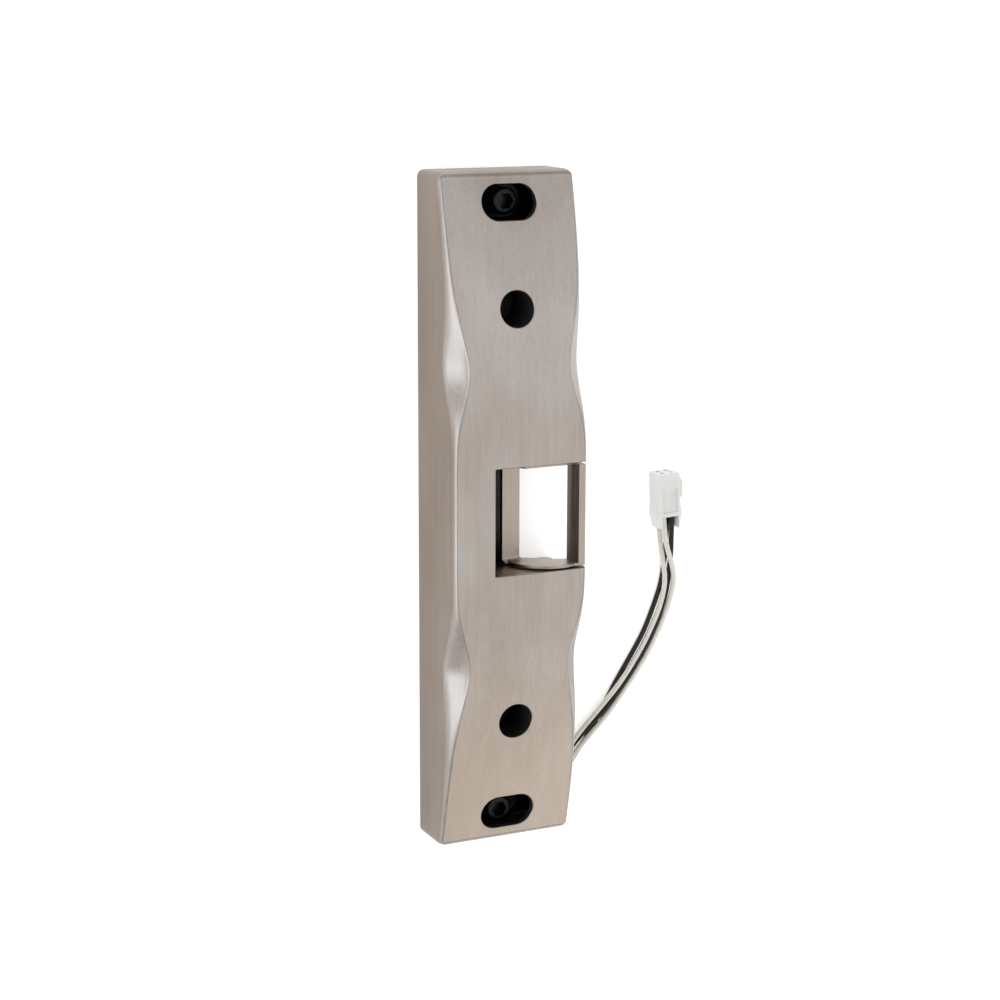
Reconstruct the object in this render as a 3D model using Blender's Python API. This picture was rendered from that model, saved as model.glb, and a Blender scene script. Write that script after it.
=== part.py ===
"""Electric door strike, surface-mounted: a cast housing with a pivoting keeper, a solenoid lock and a plug.

The strike lies on its back. X runs across it to the keeper's open side, Y along it to its upper end,
and Z out of its face. The origin is at the middle of the back. Sizes are in millimetres until MM turns them
into metres.
"""

import math

import bmesh
import bpy
from mathutils import Matrix, Vector

MM = 0.001
GAP = 0.3

# Housing
HALF_LENGTH = 114.3
HALF_WIDTH = 24.6
DEPTH_MIDDLE = 29.1
DEPTH_DROP = 12.85
FLAT_HALF_LENGTH = 24.0
BOW_POWER = 1.73
WALL = 2.4
FRONT_WALL = 2.6
CORNER_RADIUS = 2.4
SCALLOP_CENTRE = 51.5
SCALLOP_OUTER_WIDTH = 19.6
SCALLOP_INNER_WIDTH = 16.3
EDGE_INSET = 1.4
EDGE_DROP = 3.2
SCALLOP_INSET = 4.9
SCALLOP_DROP = 5.2
CAVITY_INSET = 5.8
CAVITY_DROP = 6.0

# Openings in the housing's face
POCKET_HALF_LENGTH = 18.1
POCKET_LEFT = -9.5
SIDE_RELIEF_HALF_LENGTH = 20.9
SIDE_RELIEF_TOP = 14.4
SLOT_Y = 104.2
SLOT_LENGTH = 19.6
SLOT_WIDTH = 11.8
HOLE_Y = 70.0
HOLE_RADIUS = 6.05
BOSS_RADIUS = 8.0
BOSS_SHOULDER = 8.3
BOSS_BOTTOM = 5.0

# Back plate
PLATE_THICKNESS = 2.3
PLATE_HALF_WIDTH = HALF_WIDTH - WALL - GAP
PLATE_HALF_LENGTH = HALF_LENGTH - WALL - GAP
PLATE_FRONT = PLATE_THICKNESS + GAP
PLATE_NOTCH_LEFT = 11.5
PLATE_NOTCH_HALF_LENGTH = 21.5

# Keeper and its pivot, which runs along Y
PIVOT_X = 14.5
PIVOT_Z = 16.4
KEEPER_TOP = 17.1
KEEPER_BOTTOM = -17.6
KEEPER_END_WALL = 0.9
KEEPER_LEFT = -0.3
KEEPER_RIGHT = 24.5
KEEPER_BACK = 12.8
KEEPER_WEB_FRONT = 14.6
KEEPER_ARC_CENTRE = (15.2, 14.9)
KEEPER_ARC_RADIUS = 13.5
KEEPER_ARC_RIGHT = 20.5
UPPER_WALL_FRONT = 22.8
FLANGE_INNER = 21.4
LIP_INNER = 22.1
LIP_FRONT = 27.4
WINDOW_LEFT = 6.1
WINDOW_TOP = 19.8
WINDOW_CORNER = 1.8
WINDOW_END_GAP = 0.1
END_RELIEF = [
    (8.6, 5.0), (8.6, 12.6), (10.4, 14.2), (14.1, 16.5),
    (17.7, 18.5), (20.5, WINDOW_TOP), (40.0, WINDOW_TOP), (40.0, 5.0),
]
STUB_RADIUS = 2.5
UPPER_STUB_END = 27.4
LOWER_STUB_END = 26.4

# Keeper frame
CHEEK_INNER = POCKET_HALF_LENGTH
CHEEK_OUTER = 20.4
CHEEK_BOTTOM = 10.9
CHEEK_RIGHT = 21.9
CHEEK_RELIEF_LEFT = 19.6
CHEEK_RELIEF_TOP = 18.0
CHEEK_CHAMFER = 1.4
FRAME_TOP = DEPTH_MIDDLE - FRONT_WALL - GAP
FRAME_WALL_LEFT = -11.8
FRAME_FOOT_LEFT = -20.0
FRAME_FOOT_THICKNESS = 1.8
FRAME_SCREW_X = -16.0
FRAME_SCREW_Y = 12.0
BUSHING_RADIUS = 4.0

# Lock: a cam on the lower stub, a bell crank and a solenoid whose axis runs along Y
CAM_RADIUS = 7.0
CAM_HUB_RADIUS = 4.1
CAM_THICKNESS = 3.0
CAM_START = 20.9
TOOTH_GAP = 0.4
TOOTH_CREST = math.radians(10)
TOOTH_RAMP_END = math.radians(222)
LEVER_PIVOT = (3.0, -34.0)
LEVER_BOTTOM = 15.0
LEVER_THICKNESS = 2.8
LEVER_ARM = 10.0
SOLENOID_X = LEVER_PIVOT[0] + LEVER_ARM
SOLENOID_Z = 11.4
SOLENOID_FRONT = -41.0
SOLENOID_LENGTH = 19.4
COIL_RADIUS = 7.0
PLUNGER_RADIUS = 3.2
PLUNGER_TRAVEL = 2.4

# Fixings
CUP_RADIUS = 7.3
CUP_BORE = 6.2
CUP_HALF_STRAIGHT = 3.4
CUP_FLOOR = 5.4
CUP_TOP = 7.0
CUP_SCREW_HOLE = 3.2
PLATE_SCREW_SLOT = 4.6
MOUNT_HEAD_RADIUS = 4.6
MOUNT_HEAD_HEIGHT = 6.35
MOUNT_SHANK_RADIUS = 2.6
MOUNT_PLACES = {"upper": (1.8, 104.0), "lower": (0.0, -105.5)}

# Cable and plug
WIRE_DIAMETER = 1.8
WIRE_REST = WIRE_DIAMETER / 2 + 0.05
WIRE_POINTS = 36
GROMMET_Y = -101.5
GROMMET_Z = 3.4
GROMMET_BORE = 2.8
PLUG_LENGTH = 20.0
PLUG_WIDTH = 8.2
PLUG_HEIGHT = 8.0
PLUG_REAR = -4.6
PLUG_COLLAR = 0.3
NOTCH_LENGTH = 4.4
NOTCH_HALF_WIDTH = 3.1
NOTCH_FLOOR = 1.0
CAVITY_SIZE = 2.5
PIN_ENTRY = 1.5
PIN_ENTRY_WALL = 1.2

# The cable's route over the surface, from the grommet to inside the plug
CABLE_ROUTE = [
    (22.5, -101.5),
    (26.2, -101.5),
    (30.2, -96.4),
    (34.4, -90.6),
    (39.4, -84.9),
    (45.0, -78.9),
    (51.6, -71.6),
    (57.4, -64.3),
    (62.2, -57.2),
    (66.2, -49.6),
    (69.2, -42.0),
    (70.6, -34.2),
    (70.1, -26.2),
    (69.0, -18.0),
    (68.5, -8.8),
]

# Each wire's places at even steps of the route: how far to its right, and how high. Wire 2 passes under the
# others near the housing and again near the plug, and wire 3 crosses over wire 4 on its way into the plug.
WIRE_LANES = {
    1: [
        (-1.0, 4.4), (-2.1, 2.8), (-2.25, 2.6), (-2.0, 2.9), (-1.65, 2.95), (-1.15, 1.95),
        (-1.1, 1.9), (-1.1, 2.3), (-1.3, 3.0), (-1.7, 2.6), (-1.7, 2.3),
    ],
    2: [
        (1.0, 2.4), (2.25, 1.1), (2.3, 0.97), (0.2, 0.97), (-2.0, 0.97), (-2.85, 0.97),
        (-2.85, 0.97), (-2.8, 0.97), (-1.1, 0.97), (1.3, 1.2), (1.7, 2.3),
    ],
    3: [
        (1.0, 4.4), (0.9, 2.85), (1.4, 3.0), (2.0, 2.95), (2.3, 1.8), (2.75, 0.97),
        (2.75, 0.97), (2.75, 1.3), (1.7, 4.0), (-0.9, 5.8), (-1.7, 5.7),
    ],
    4: [
        (-1.0, 2.4), (-0.7, 1.15), (-0.5, 1.75), (0.0, 2.9), (0.35, 2.2), (0.8, 0.97),
        (0.8, 0.97), (0.8, 1.0), (1.0, 1.9), (1.9, 4.0), (1.7, 5.7),
    ],
}
WIRE_COLOURS = {1: "white_wire", 2: "black_wire", 3: "white_wire", 4: "black_wire"}

MATERIALS = {
    "brushed_steel": ((0.40, 0.36, 0.33), 0.38, 1.0),
    "keeper_steel": ((0.36, 0.32, 0.29), 0.35, 1.0),
    "zinc_steel": ((0.55, 0.55, 0.53), 0.35, 1.0),
    "black_oxide": ((0.02, 0.02, 0.022), 0.35, 1.0),
    "bronze": ((0.55, 0.38, 0.20), 0.4, 1.0),
    "spring_steel": ((0.45, 0.45, 0.45), 0.3, 1.0),
    "coil_tape": ((0.35, 0.20, 0.06), 0.5, 0.0),
    "bobbin_nylon": ((0.06, 0.06, 0.06), 0.5, 0.0),
    "black_rubber": ((0.02, 0.02, 0.02), 0.7, 0.0),
    "black_wire": ((0.015, 0.014, 0.012), 0.45, 0.0),
    "white_wire": ((0.80, 0.77, 0.70), 0.45, 0.0),
    "white_nylon": ((0.86, 0.87, 0.86), 0.4, 0.0),
    "tinned_contact": ((0.70, 0.68, 0.62), 0.3, 1.0),
}


def material(name):
    """The named material, made the first time it is asked for."""
    if name in bpy.data.materials:
        return bpy.data.materials[name]
    colour, roughness, metallic = MATERIALS[name]
    made = bpy.data.materials.new(name)
    made.use_nodes = True
    shader = made.node_tree.nodes["Principled BSDF"]
    shader.inputs["Base Color"].default_value = (*colour, 1)
    shader.inputs["Roughness"].default_value = roughness
    shader.inputs["Metallic"].default_value = metallic
    return made


def add_object(name, bm, material_name, parent=None, helper=False):
    """A mesh object from bm, whose points are in millimetres in the strike's frame."""
    bmesh.ops.recalc_face_normals(bm, faces=bm.faces)
    mesh = bpy.data.meshes.new(name)
    bm.transform(Matrix.Scale(MM, 4))
    bm.to_mesh(mesh)
    bm.free()
    mesh.shade_smooth()
    mesh.set_sharp_from_angle(angle=math.radians(35))
    obj = bpy.data.objects.new(name, mesh)
    bpy.context.scene.collection.objects.link(obj)
    if helper:
        obj.hide_render = True
        obj.display_type = "WIRE"
    else:
        mesh.materials.append(material(material_name))
    if parent:
        attach(obj, parent)
    return obj


def attach(obj, parent):
    """Parents obj to an empty and leaves it where it is."""
    obj.parent = parent
    obj.matrix_parent_inverse = Matrix.Translation(-parent.location)


def joint_empty(name, x, y, z):
    """An empty on a joint's axis, which its moving pieces are parented to."""
    empty = bpy.data.objects.new(name, None)
    empty.location = Vector((x, y, z)) * MM
    empty.empty_display_size = 10 * MM
    bpy.context.scene.collection.objects.link(empty)
    return empty


def combine(obj, other, operation):
    """Cuts other out of obj, or joins it on, with a Boolean that stays on the object."""
    modifier = obj.modifiers.new(other.name, "BOOLEAN")
    modifier.operation = operation
    modifier.solver = "EXACT"
    modifier.object = other


def cut(obj, *cutters):
    for cutter in cutters:
        combine(obj, cutter, "DIFFERENCE")


def join(obj, *others):
    for other in others:
        combine(obj, other, "UNION")


def box_mesh(low, high):
    bm = bmesh.new()
    bmesh.ops.create_cube(bm, size=1)
    size = Vector(high) - Vector(low)
    centre = (Vector(high) + Vector(low)) / 2
    bm.transform(Matrix.Translation(centre) @ Matrix.Diagonal((*size, 1)))
    return bm


def box(name, low, high, material_name="", parent=None, helper=False):
    return add_object(name, box_mesh(low, high), material_name, parent, helper)


def prism(name, outline, axis, start, end, material_name="", parent=None, helper=False):
    """An outline pushed along an axis. Its two coordinates are the other two axes, in X, Y, Z order."""
    bm = bmesh.new()
    place = {
        "X": lambda a, b: (start, a, b),
        "Y": lambda a, b: (a, start, b),
        "Z": lambda a, b: (a, b, start),
    }[axis]
    face = bm.faces.new([bm.verts.new(place(a, b)) for a, b in outline])
    pushed = bmesh.ops.extrude_face_region(bm, geom=[face])
    moved = [v for v in pushed["geom"] if isinstance(v, bmesh.types.BMVert)]
    step = Vector([(end - start) * (letter == axis) for letter in "XYZ"])
    bmesh.ops.translate(bm, verts=moved, vec=step)
    return add_object(name, bm, material_name, parent, helper)


def turned(name, profile, centre, axis, material_name="", parent=None, helper=False, sides=32):
    """A turned piece. The profile lists (radius, place along the axis). The centre is its other two places."""
    bm = bmesh.new()
    rings = []
    for radius, along in profile:
        ring = []
        for i in range(sides):
            angle = 2 * math.pi * i / sides
            a = centre[0] + radius * math.cos(angle)
            b = centre[1] + radius * math.sin(angle)
            point = {"X": (along, a, b), "Y": (a, along, b), "Z": (a, b, along)}[axis]
            ring.append(bm.verts.new(point))
        rings.append(ring)
    closed = profile[0] == profile[-1]
    if closed:
        for vert in rings[-1]:
            bm.verts.remove(vert)
        rings[-1] = rings[0]
    for one, two in zip(rings, rings[1:]):
        for i in range(sides):
            j = (i + 1) % sides
            bm.faces.new((one[i], one[j], two[j], two[i]))
    if not closed:
        bm.faces.new(rings[0])
        bm.faces.new(rings[-1])
    return add_object(name, bm, material_name, parent, helper)


def rod(name, radius, start, end, centre, axis, material_name="", parent=None, helper=False):
    profile = [(radius, start), (radius, end)]
    return turned(name, profile, centre, axis, material_name, parent, helper)


def tube(name, outer, inner, start, end, centre, axis, material_name="", parent=None, helper=False):
    profile = [(outer, start), (outer, end), (inner, end), (inner, start), (outer, start)]
    return turned(name, profile, centre, axis, material_name, parent, helper)


def rounded_outline(low, high, radius, steps=6):
    """The corners of a rectangle as arcs, from its low and high corners."""
    points = []
    corners = [(high[0], high[1]), (low[0], high[1]), (low[0], low[1]), (high[0], low[1])]
    for quarter, (x, y) in enumerate(corners):
        cx = x - radius if x == high[0] else x + radius
        cy = y - radius if y == high[1] else y + radius
        for i in range(steps + 1):
            angle = math.pi / 2 * (quarter + i / steps)
            points.append((cx + radius * math.cos(angle), cy + radius * math.sin(angle)))
    return points


def stadium(x, y, half_straight, radius, steps=10):
    """A slot's outline: two half circles, half_straight to each side of the middle."""
    points = []
    for side in (1, -1):
        for i in range(steps + 1):
            angle = math.pi * (i / steps - 0.5) + (math.pi if side < 0 else 0)
            points.append((x + side * half_straight + radius * math.cos(angle), y + radius * math.sin(angle)))
    return points


def wire(name, points, diameter, material_name, parent=None, resolution=2):
    """A round wire through the points, with closed ends."""
    curve = bpy.data.curves.new(name, "CURVE")
    curve.dimensions = "3D"
    curve.bevel_depth = diameter / 2 * MM
    curve.bevel_resolution = resolution
    curve.use_fill_caps = True
    spline = curve.splines.new("POLY")
    spline.points.add(len(points) - 1)
    for point, place in zip(spline.points, points):
        point.co = (*(Vector(place) * MM), 1)
    curve.materials.append(material(material_name))
    obj = bpy.data.objects.new(name, curve)
    bpy.context.scene.collection.objects.link(obj)
    if parent:
        attach(obj, parent)
    return obj


def front_depth(y):
    """How far the face stands out at y: flat in the middle, and bowed back to both ends."""
    past = max(0.0, abs(y) - FLAT_HALF_LENGTH) / (HALF_LENGTH - FLAT_HALF_LENGTH)
    return DEPTH_MIDDLE - DEPTH_DROP * past**BOW_POWER


def scallop(y):
    """How deep the scallop in the housing's edge is at y, from 0 to 1."""
    past = abs(y) - SCALLOP_CENTRE
    if past > 0:
        return math.exp(-((past / SCALLOP_OUTER_WIDTH) ** 1.45))
    return math.exp(-((-past / SCALLOP_INNER_WIDTH) ** 2.1))


def edge_curve(inset, drop, hollow, steps):
    """The edge from the side wall to the face: points (in from the side, below the face).

    It is a plain rounding where hollow is 0, and a scoop that meets the face steeply where hollow is 1.
    """
    p0 = Vector((0, drop))
    p1 = Vector((0, (0.45 + 0.27 * hollow) * drop))
    p2 = Vector(((0.45 + 0.3 * hollow) * inset, 0.4 * hollow * drop))
    p3 = Vector((inset, 0))
    points = []
    for i in range(steps + 1):
        t = i / steps
        s = 1 - t
        points.append(s**3 * p0 + 3 * s * s * t * p1 + 3 * s * t * t * p2 + t**3 * p3)
    return points


def outer_section(y, shrink, steps):
    """Half of the housing's outline across X and Z at y, from the back's outer edge to the face's edge."""
    depth = front_depth(y) - shrink
    inset = EDGE_INSET + SCALLOP_INSET * scallop(y)
    drop = EDGE_DROP + SCALLOP_DROP * scallop(y)
    half = [(HALF_WIDTH - shrink, 0.0)]
    half += [(HALF_WIDTH - shrink - p.x, depth - p.y) for p in edge_curve(inset, drop, scallop(y), steps)]
    return half


def loft(name, rows, material_name="", helper=False):
    """A closed body through outlines (y, half outline), each mirrored in X and closed along its back."""
    bm = bmesh.new()
    rings = []
    for y, half in rows:
        outline = list(half) + [(-x, z) for x, z in reversed(half)]
        rings.append([bm.verts.new((x, y, z)) for x, z in outline])
    for one, two in zip(rings, rings[1:]):
        for i in range(len(one)):
            j = (i + 1) % len(one)
            bm.faces.new((one[i], one[j], two[j], two[i]))
    bm.faces.new(rings[0])
    bm.faces.new(rings[-1])
    return add_object(name, bm, material_name, helper=helper)


def station_rows(spacing, steps):
    """The housing's outer outlines from end to end, with its end corners rounded."""
    rows = []
    straight = HALF_LENGTH - CORNER_RADIUS
    count = int(straight / spacing)
    for i in range(-count, count + 1):
        y = straight * i / count
        rows.append((y, outer_section(y, 0, steps)))
    turns = 4
    for i in range(1, turns + 1):
        angle = math.pi / 2 * i / turns
        y = straight + CORNER_RADIUS * math.sin(angle)
        shrink = CORNER_RADIUS * (1 - math.cos(angle))
        half = outer_section(straight, shrink, steps)
        rows.append((y, half))
        rows.insert(0, (-y, half))
    return rows


def cavity_rows(spacing):
    """The outlines of the hollow inside the housing, open at the back."""
    rows = []
    end = HALF_LENGTH - WALL
    count = int(end / spacing)
    for i in range(-count, count + 1):
        y = end * i / count
        depth = front_depth(y) - FRONT_WALL
        inset = CAVITY_INSET * scallop(y)
        drop = CAVITY_DROP * scallop(y)
        side = HALF_WIDTH - WALL
        rows.append((y, [(side, -1.0), (side, depth - drop - 0.8), (side - inset - 0.8, depth)]))
    return rows


def build_housing():
    housing = loft("housing", station_rows(4.0, 6), "brushed_steel")
    cavity = loft("cut_cavity", cavity_rows(6.0), helper=True)
    cut(housing, cavity)
    for side, word in ((1, "upper"), (-1, "lower")):
        y = side * HOLE_Y
        boss_top = front_depth(y) - FRONT_WALL / 2
        boss = rod(f"add_boss_{word}", BOSS_RADIUS, BOSS_BOTTOM, boss_top, (0, y), "Z", helper=True)
        join(housing, boss)
        hole = [(HOLE_RADIUS, 35), (HOLE_RADIUS, BOSS_SHOULDER), (2.6, BOSS_SHOULDER), (2.6, 0)]
        cut(housing, turned(f"cut_hole_{word}", hole, (0, y), "Z", helper=True))
        low = (-SLOT_LENGTH / 2, side * SLOT_Y - SLOT_WIDTH / 2)
        high = (SLOT_LENGTH / 2, side * SLOT_Y + SLOT_WIDTH / 2)
        slot = rounded_outline(low, high, SLOT_WIDTH / 2 - 0.001, 8)
        cut(housing, prism(f"cut_slot_{word}", slot, "Z", 8, 35, helper=True))
    low = (POCKET_LEFT, -POCKET_HALF_LENGTH, -1)
    high = (HALF_WIDTH + 5, POCKET_HALF_LENGTH, 35)
    cut(housing, box("cut_pocket", low, high, helper=True))
    notch_top = GROMMET_Z + 4.1
    low = (HALF_WIDTH - WALL - 1, GROMMET_Y - 4.1, -1)
    high = (HALF_WIDTH + 1, GROMMET_Y + 4.1, notch_top)
    cut(housing, box("cut_wire_notch", low, high, helper=True))
    low = (HALF_WIDTH - WALL - 1, -SIDE_RELIEF_HALF_LENGTH, -1)
    high = (HALF_WIDTH + 1, SIDE_RELIEF_HALF_LENGTH, SIDE_RELIEF_TOP)
    cut(housing, box("cut_side_relief", low, high, helper=True))


def build_back_plate():
    low = (-PLATE_HALF_WIDTH, -PLATE_HALF_LENGTH, 0)
    high = (PLATE_HALF_WIDTH, PLATE_HALF_LENGTH, PLATE_THICKNESS)
    plate = box("back_plate", low, high, "black_oxide")
    low = (PLATE_NOTCH_LEFT, -PLATE_NOTCH_HALF_LENGTH, -1)
    high = (PLATE_HALF_WIDTH + 1, PLATE_NOTCH_HALF_LENGTH, 5)
    cut(plate, box("cut_plate_notch", low, high, helper=True))
    low = (PLATE_HALF_WIDTH - 4, GROMMET_Y - 5, -1)
    high = (PLATE_HALF_WIDTH + 1, GROMMET_Y + 5, 5)
    cut(plate, box("cut_plate_wire_notch", low, high, helper=True))
    for side, word in ((1, "upper"), (-1, "lower")):
        slot = stadium(0, side * SLOT_Y, CUP_HALF_STRAIGHT, PLATE_SCREW_SLOT)
        cut(plate, prism(f"cut_plate_mount_{word}", slot, "Z", -1, 5, helper=True))
    holes = [
        ("cover_upper", 0, HOLE_Y, 2.5),
        ("cover_lower", 0, -HOLE_Y, 2.5),
        ("frame_upper", FRAME_SCREW_X, FRAME_SCREW_Y, 1.8),
        ("frame_lower", FRAME_SCREW_X, -FRAME_SCREW_Y, 1.8),
        ("solenoid", SOLENOID_X - 11.6, SOLENOID_FRONT - 9.5, 1.6),
    ]
    for word, x, y, radius in holes:
        cut(plate, rod(f"cut_plate_{word}", radius, -1, 5, (x, y), "Z", helper=True))


def keeper_outline():
    """The end wall's outline across X and Z: a round front, the lip at the right and a flat back."""
    points = [(KEEPER_LEFT, KEEPER_BACK), (KEEPER_LEFT, KEEPER_WEB_FRONT)]
    centre_x, centre_z = KEEPER_ARC_CENTRE
    end = math.acos((KEEPER_ARC_RIGHT - centre_x) / KEEPER_ARC_RADIUS)
    steps = 18
    for i in range(steps + 1):
        angle = math.pi + (end - math.pi) * i / steps
        x = centre_x + KEEPER_ARC_RADIUS * math.cos(angle)
        points.append((x, centre_z + KEEPER_ARC_RADIUS * math.sin(angle)))
    points += [(LIP_INNER, LIP_FRONT), (KEEPER_RIGHT, LIP_FRONT), (KEEPER_RIGHT, KEEPER_BACK)]
    return points


def build_keeper(pivot):
    top, bottom = KEEPER_TOP, KEEPER_BOTTOM
    keeper = prism("keeper", keeper_outline(), "Y", bottom, top, "keeper_steel", pivot)
    inner_top, inner_bottom = top - KEEPER_END_WALL, bottom + KEEPER_END_WALL
    pocket = [
        (KEEPER_LEFT - 1, KEEPER_WEB_FRONT),
        (FLANGE_INNER - 1.2, KEEPER_WEB_FRONT),
        (FLANGE_INNER, KEEPER_WEB_FRONT + 1.2),
        (FLANGE_INNER, LIP_FRONT - 4),
        (LIP_INNER, LIP_FRONT - 1),
        (LIP_INNER, 35),
        (KEEPER_LEFT - 1, 35),
    ]
    cut(keeper, prism("cut_keeper_pocket", pocket, "Y", inner_bottom, inner_top, helper=True))
    low = (WINDOW_LEFT, inner_bottom + WINDOW_END_GAP)
    high = (40, inner_top - WINDOW_END_GAP)
    window = rounded_outline(low, high, WINDOW_CORNER)
    cut(keeper, prism("cut_keeper_window", window, "Z", 5, WINDOW_TOP, helper=True))
    cut(keeper, prism("cut_end_relief", END_RELIEF, "Y", -30, 30, helper=True))
    low = (KEEPER_LEFT - 1, inner_top - 0.1, UPPER_WALL_FRONT)
    cut(keeper, box("cut_upper_wall", low, (LIP_INNER, 30, 40), helper=True))
    for word, y, inward in (("upper", top, -1), ("lower", bottom, 1)):
        corner = [(KEEPER_LEFT, y + 1.3 * inward), (KEEPER_LEFT + 1.3, y), (KEEPER_LEFT - 2, y - inward)]
        cut(keeper, prism(f"cut_keeper_corner_{word}", corner, "Z", 5, KEEPER_WEB_FRONT + 0.2, helper=True))
    centre = (PIVOT_X, PIVOT_Z)
    upper = rod("add_stub_upper", STUB_RADIUS, inner_top + 0.1, UPPER_STUB_END, centre, "Y", helper=True)
    lower = rod("add_stub_lower", STUB_RADIUS, -LOWER_STUB_END, inner_bottom - 0.1, centre, "Y", helper=True)
    join(keeper, upper, lower)


def build_keeper_frame():
    outer = CHEEK_OUTER
    low = (FRAME_WALL_LEFT, -outer, PLATE_FRONT)
    high = (POCKET_LEFT - 0.1, outer, FRAME_TOP)
    frame = box("keeper_frame", low, high, "keeper_steel")
    for side, word in ((1, "upper"), (-1, "lower")):
        ends = sorted((side * CHEEK_INNER, side * outer))
        cheek = [
            (FRAME_WALL_LEFT, PLATE_FRONT),
            (-4, PLATE_FRONT),
            (2, CHEEK_BOTTOM),
            (CHEEK_RELIEF_LEFT, CHEEK_BOTTOM),
            (CHEEK_RELIEF_LEFT, CHEEK_RELIEF_TOP),
            (CHEEK_RIGHT, CHEEK_RELIEF_TOP + 0.5),
            (CHEEK_RIGHT, FRAME_TOP - CHEEK_CHAMFER),
            (CHEEK_RIGHT - CHEEK_CHAMFER, FRAME_TOP),
            (FRAME_WALL_LEFT, FRAME_TOP),
        ]
        join(frame, prism(f"add_cheek_{word}", cheek, "Y", *ends, helper=True))
    low = (FRAME_FOOT_LEFT, -outer, PLATE_FRONT)
    high = (FRAME_WALL_LEFT + 1, outer, PLATE_FRONT + FRAME_FOOT_THICKNESS)
    join(frame, box("add_frame_foot", low, high, helper=True))
    bore = rod("cut_bushing_bores", BUSHING_RADIUS + GAP, -25, 25, (PIVOT_X, PIVOT_Z), "Y", helper=True)
    cut(frame, bore)
    for side, word in ((1, "upper"), (-1, "lower")):
        place = (FRAME_SCREW_X, side * FRAME_SCREW_Y)
        cut(frame, rod(f"cut_frame_screw_{word}", 1.8, 0, 8, place, "Z", helper=True))


def cam_outline():
    """The lock cam across X and Z: a hub and a tooth, with a ramp and a flat that the lever's tip blocks."""
    drop = LEVER_THICKNESS / 2 + TOOTH_GAP
    flat_start = math.pi + math.asin(drop / CAM_RADIUS)
    hub_end = 3 * math.pi + math.asin(drop / CAM_HUB_RADIUS)
    places = [(flat_start + TOOTH_CREST * i / 3, CAM_RADIUS) for i in range(4)]
    steps = 28
    for i in range(steps + 1):
        places.append((TOOTH_RAMP_END + (hub_end - TOOTH_RAMP_END) * i / steps, CAM_HUB_RADIUS))
    return [(PIVOT_X + r * math.cos(a), PIVOT_Z + r * math.sin(a)) for a, r in places]


def build_pivot_hardware(pivot):
    centre = (PIVOT_X, PIVOT_Z)
    for side, word in ((1, "upper"), (-1, "lower")):
        ends = sorted((side * (CHEEK_INNER + 0.1), side * (CHEEK_OUTER - 0.1)))
        tube(f"pivot_bushing_{word}", BUSHING_RADIUS, STUB_RADIUS + 0.1, *ends, centre, "Y", "bronze")
    bore = STUB_RADIUS + 0.1
    tube("retaining_ring_upper", 3.9, bore, 26.2, 27.0, centre, "Y", "spring_steel", pivot)
    tube("retaining_ring_lower", 3.9, bore, -25.4, -24.6, centre, "Y", "spring_steel", pivot)
    end = CAM_START + CAM_THICKNESS
    cam = prism("lock_cam", cam_outline(), "Y", -end, -CAM_START, "zinc_steel", pivot)
    cut(cam, rod("cut_cam_bore", bore, -30, -15, centre, "Y", helper=True))


def build_keeper_spring():
    """A torsion spring round the upper stub, with one leg on the frame's cheek and one towards the lip."""
    radius = 4.0
    turns = 4
    start_y = 21.4
    pitch = 1.0
    steps = 14
    points = [(PIVOT_X - 8, start_y, PIVOT_Z - radius)]
    for i in range(turns * steps + 1):
        angle = -math.pi / 2 + 2 * math.pi * i / steps
        x = PIVOT_X + radius * math.cos(angle)
        z = PIVOT_Z + radius * math.sin(angle)
        points.append((x, start_y + pitch * i / steps, z))
    points.append((PIVOT_X + 6, start_y + pitch * turns, PIVOT_Z - radius))
    wire("keeper_return_spring", points, 0.7, "spring_steel")


def lever_outline():
    """The bell crank from above: one arm to the cam's rim, one to the plunger's pin, round its pivot."""
    x, y = LEVER_PIVOT
    tip_right = PIVOT_X - CAM_RADIUS - 0.6
    return [
        (tip_right, -24.0),
        (tip_right, -20.8),
        (tip_right - 3.0, -20.8),
        (x - 2.8, y + 6),
        (x - 3.4, y - 1.5),
        (x - 1.5, y - 3.2),
        (x + 6.0, y - 3.0),
        (x + LEVER_ARM + 2.4, y - 2.4),
        (x + LEVER_ARM + 2.4, y + 2.4),
        (x + 4.5, y + 2.6),
        (x + 2.6, y + 5.0),
        (x + 2.2, y + 7.5),
    ]


def build_lever(pivot):
    top = LEVER_BOTTOM + LEVER_THICKNESS
    lever = prism("lock_lever", lever_outline(), "Z", LEVER_BOTTOM, top, "zinc_steel", pivot)
    bevel = lever.modifiers.new("Bevel", "BEVEL")
    bevel.width = 0.3 * MM
    bevel.segments = 1
    cut(lever, rod("cut_lever_pivot", 1.8, 10, 25, LEVER_PIVOT, "Z", helper=True))
    low = (SOLENOID_X - 1.8, LEVER_PIVOT[1] - 1.4)
    high = (SOLENOID_X + 5, LEVER_PIVOT[1] + 1.4)
    cut(lever, box("cut_lever_slot", (*low, 10), (*high, 25), helper=True))


def build_lever_post():
    head = LEVER_BOTTOM + LEVER_THICKNESS + GAP
    profile = [
        (2.6, PLATE_FRONT),
        (2.6, LEVER_BOTTOM - GAP),
        (1.5, LEVER_BOTTOM - GAP),
        (1.5, head),
        (2.6, head),
        (2.6, head + 0.9),
    ]
    turned("lever_pivot_post", profile, LEVER_PIVOT, "Z", "zinc_steel")


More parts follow.
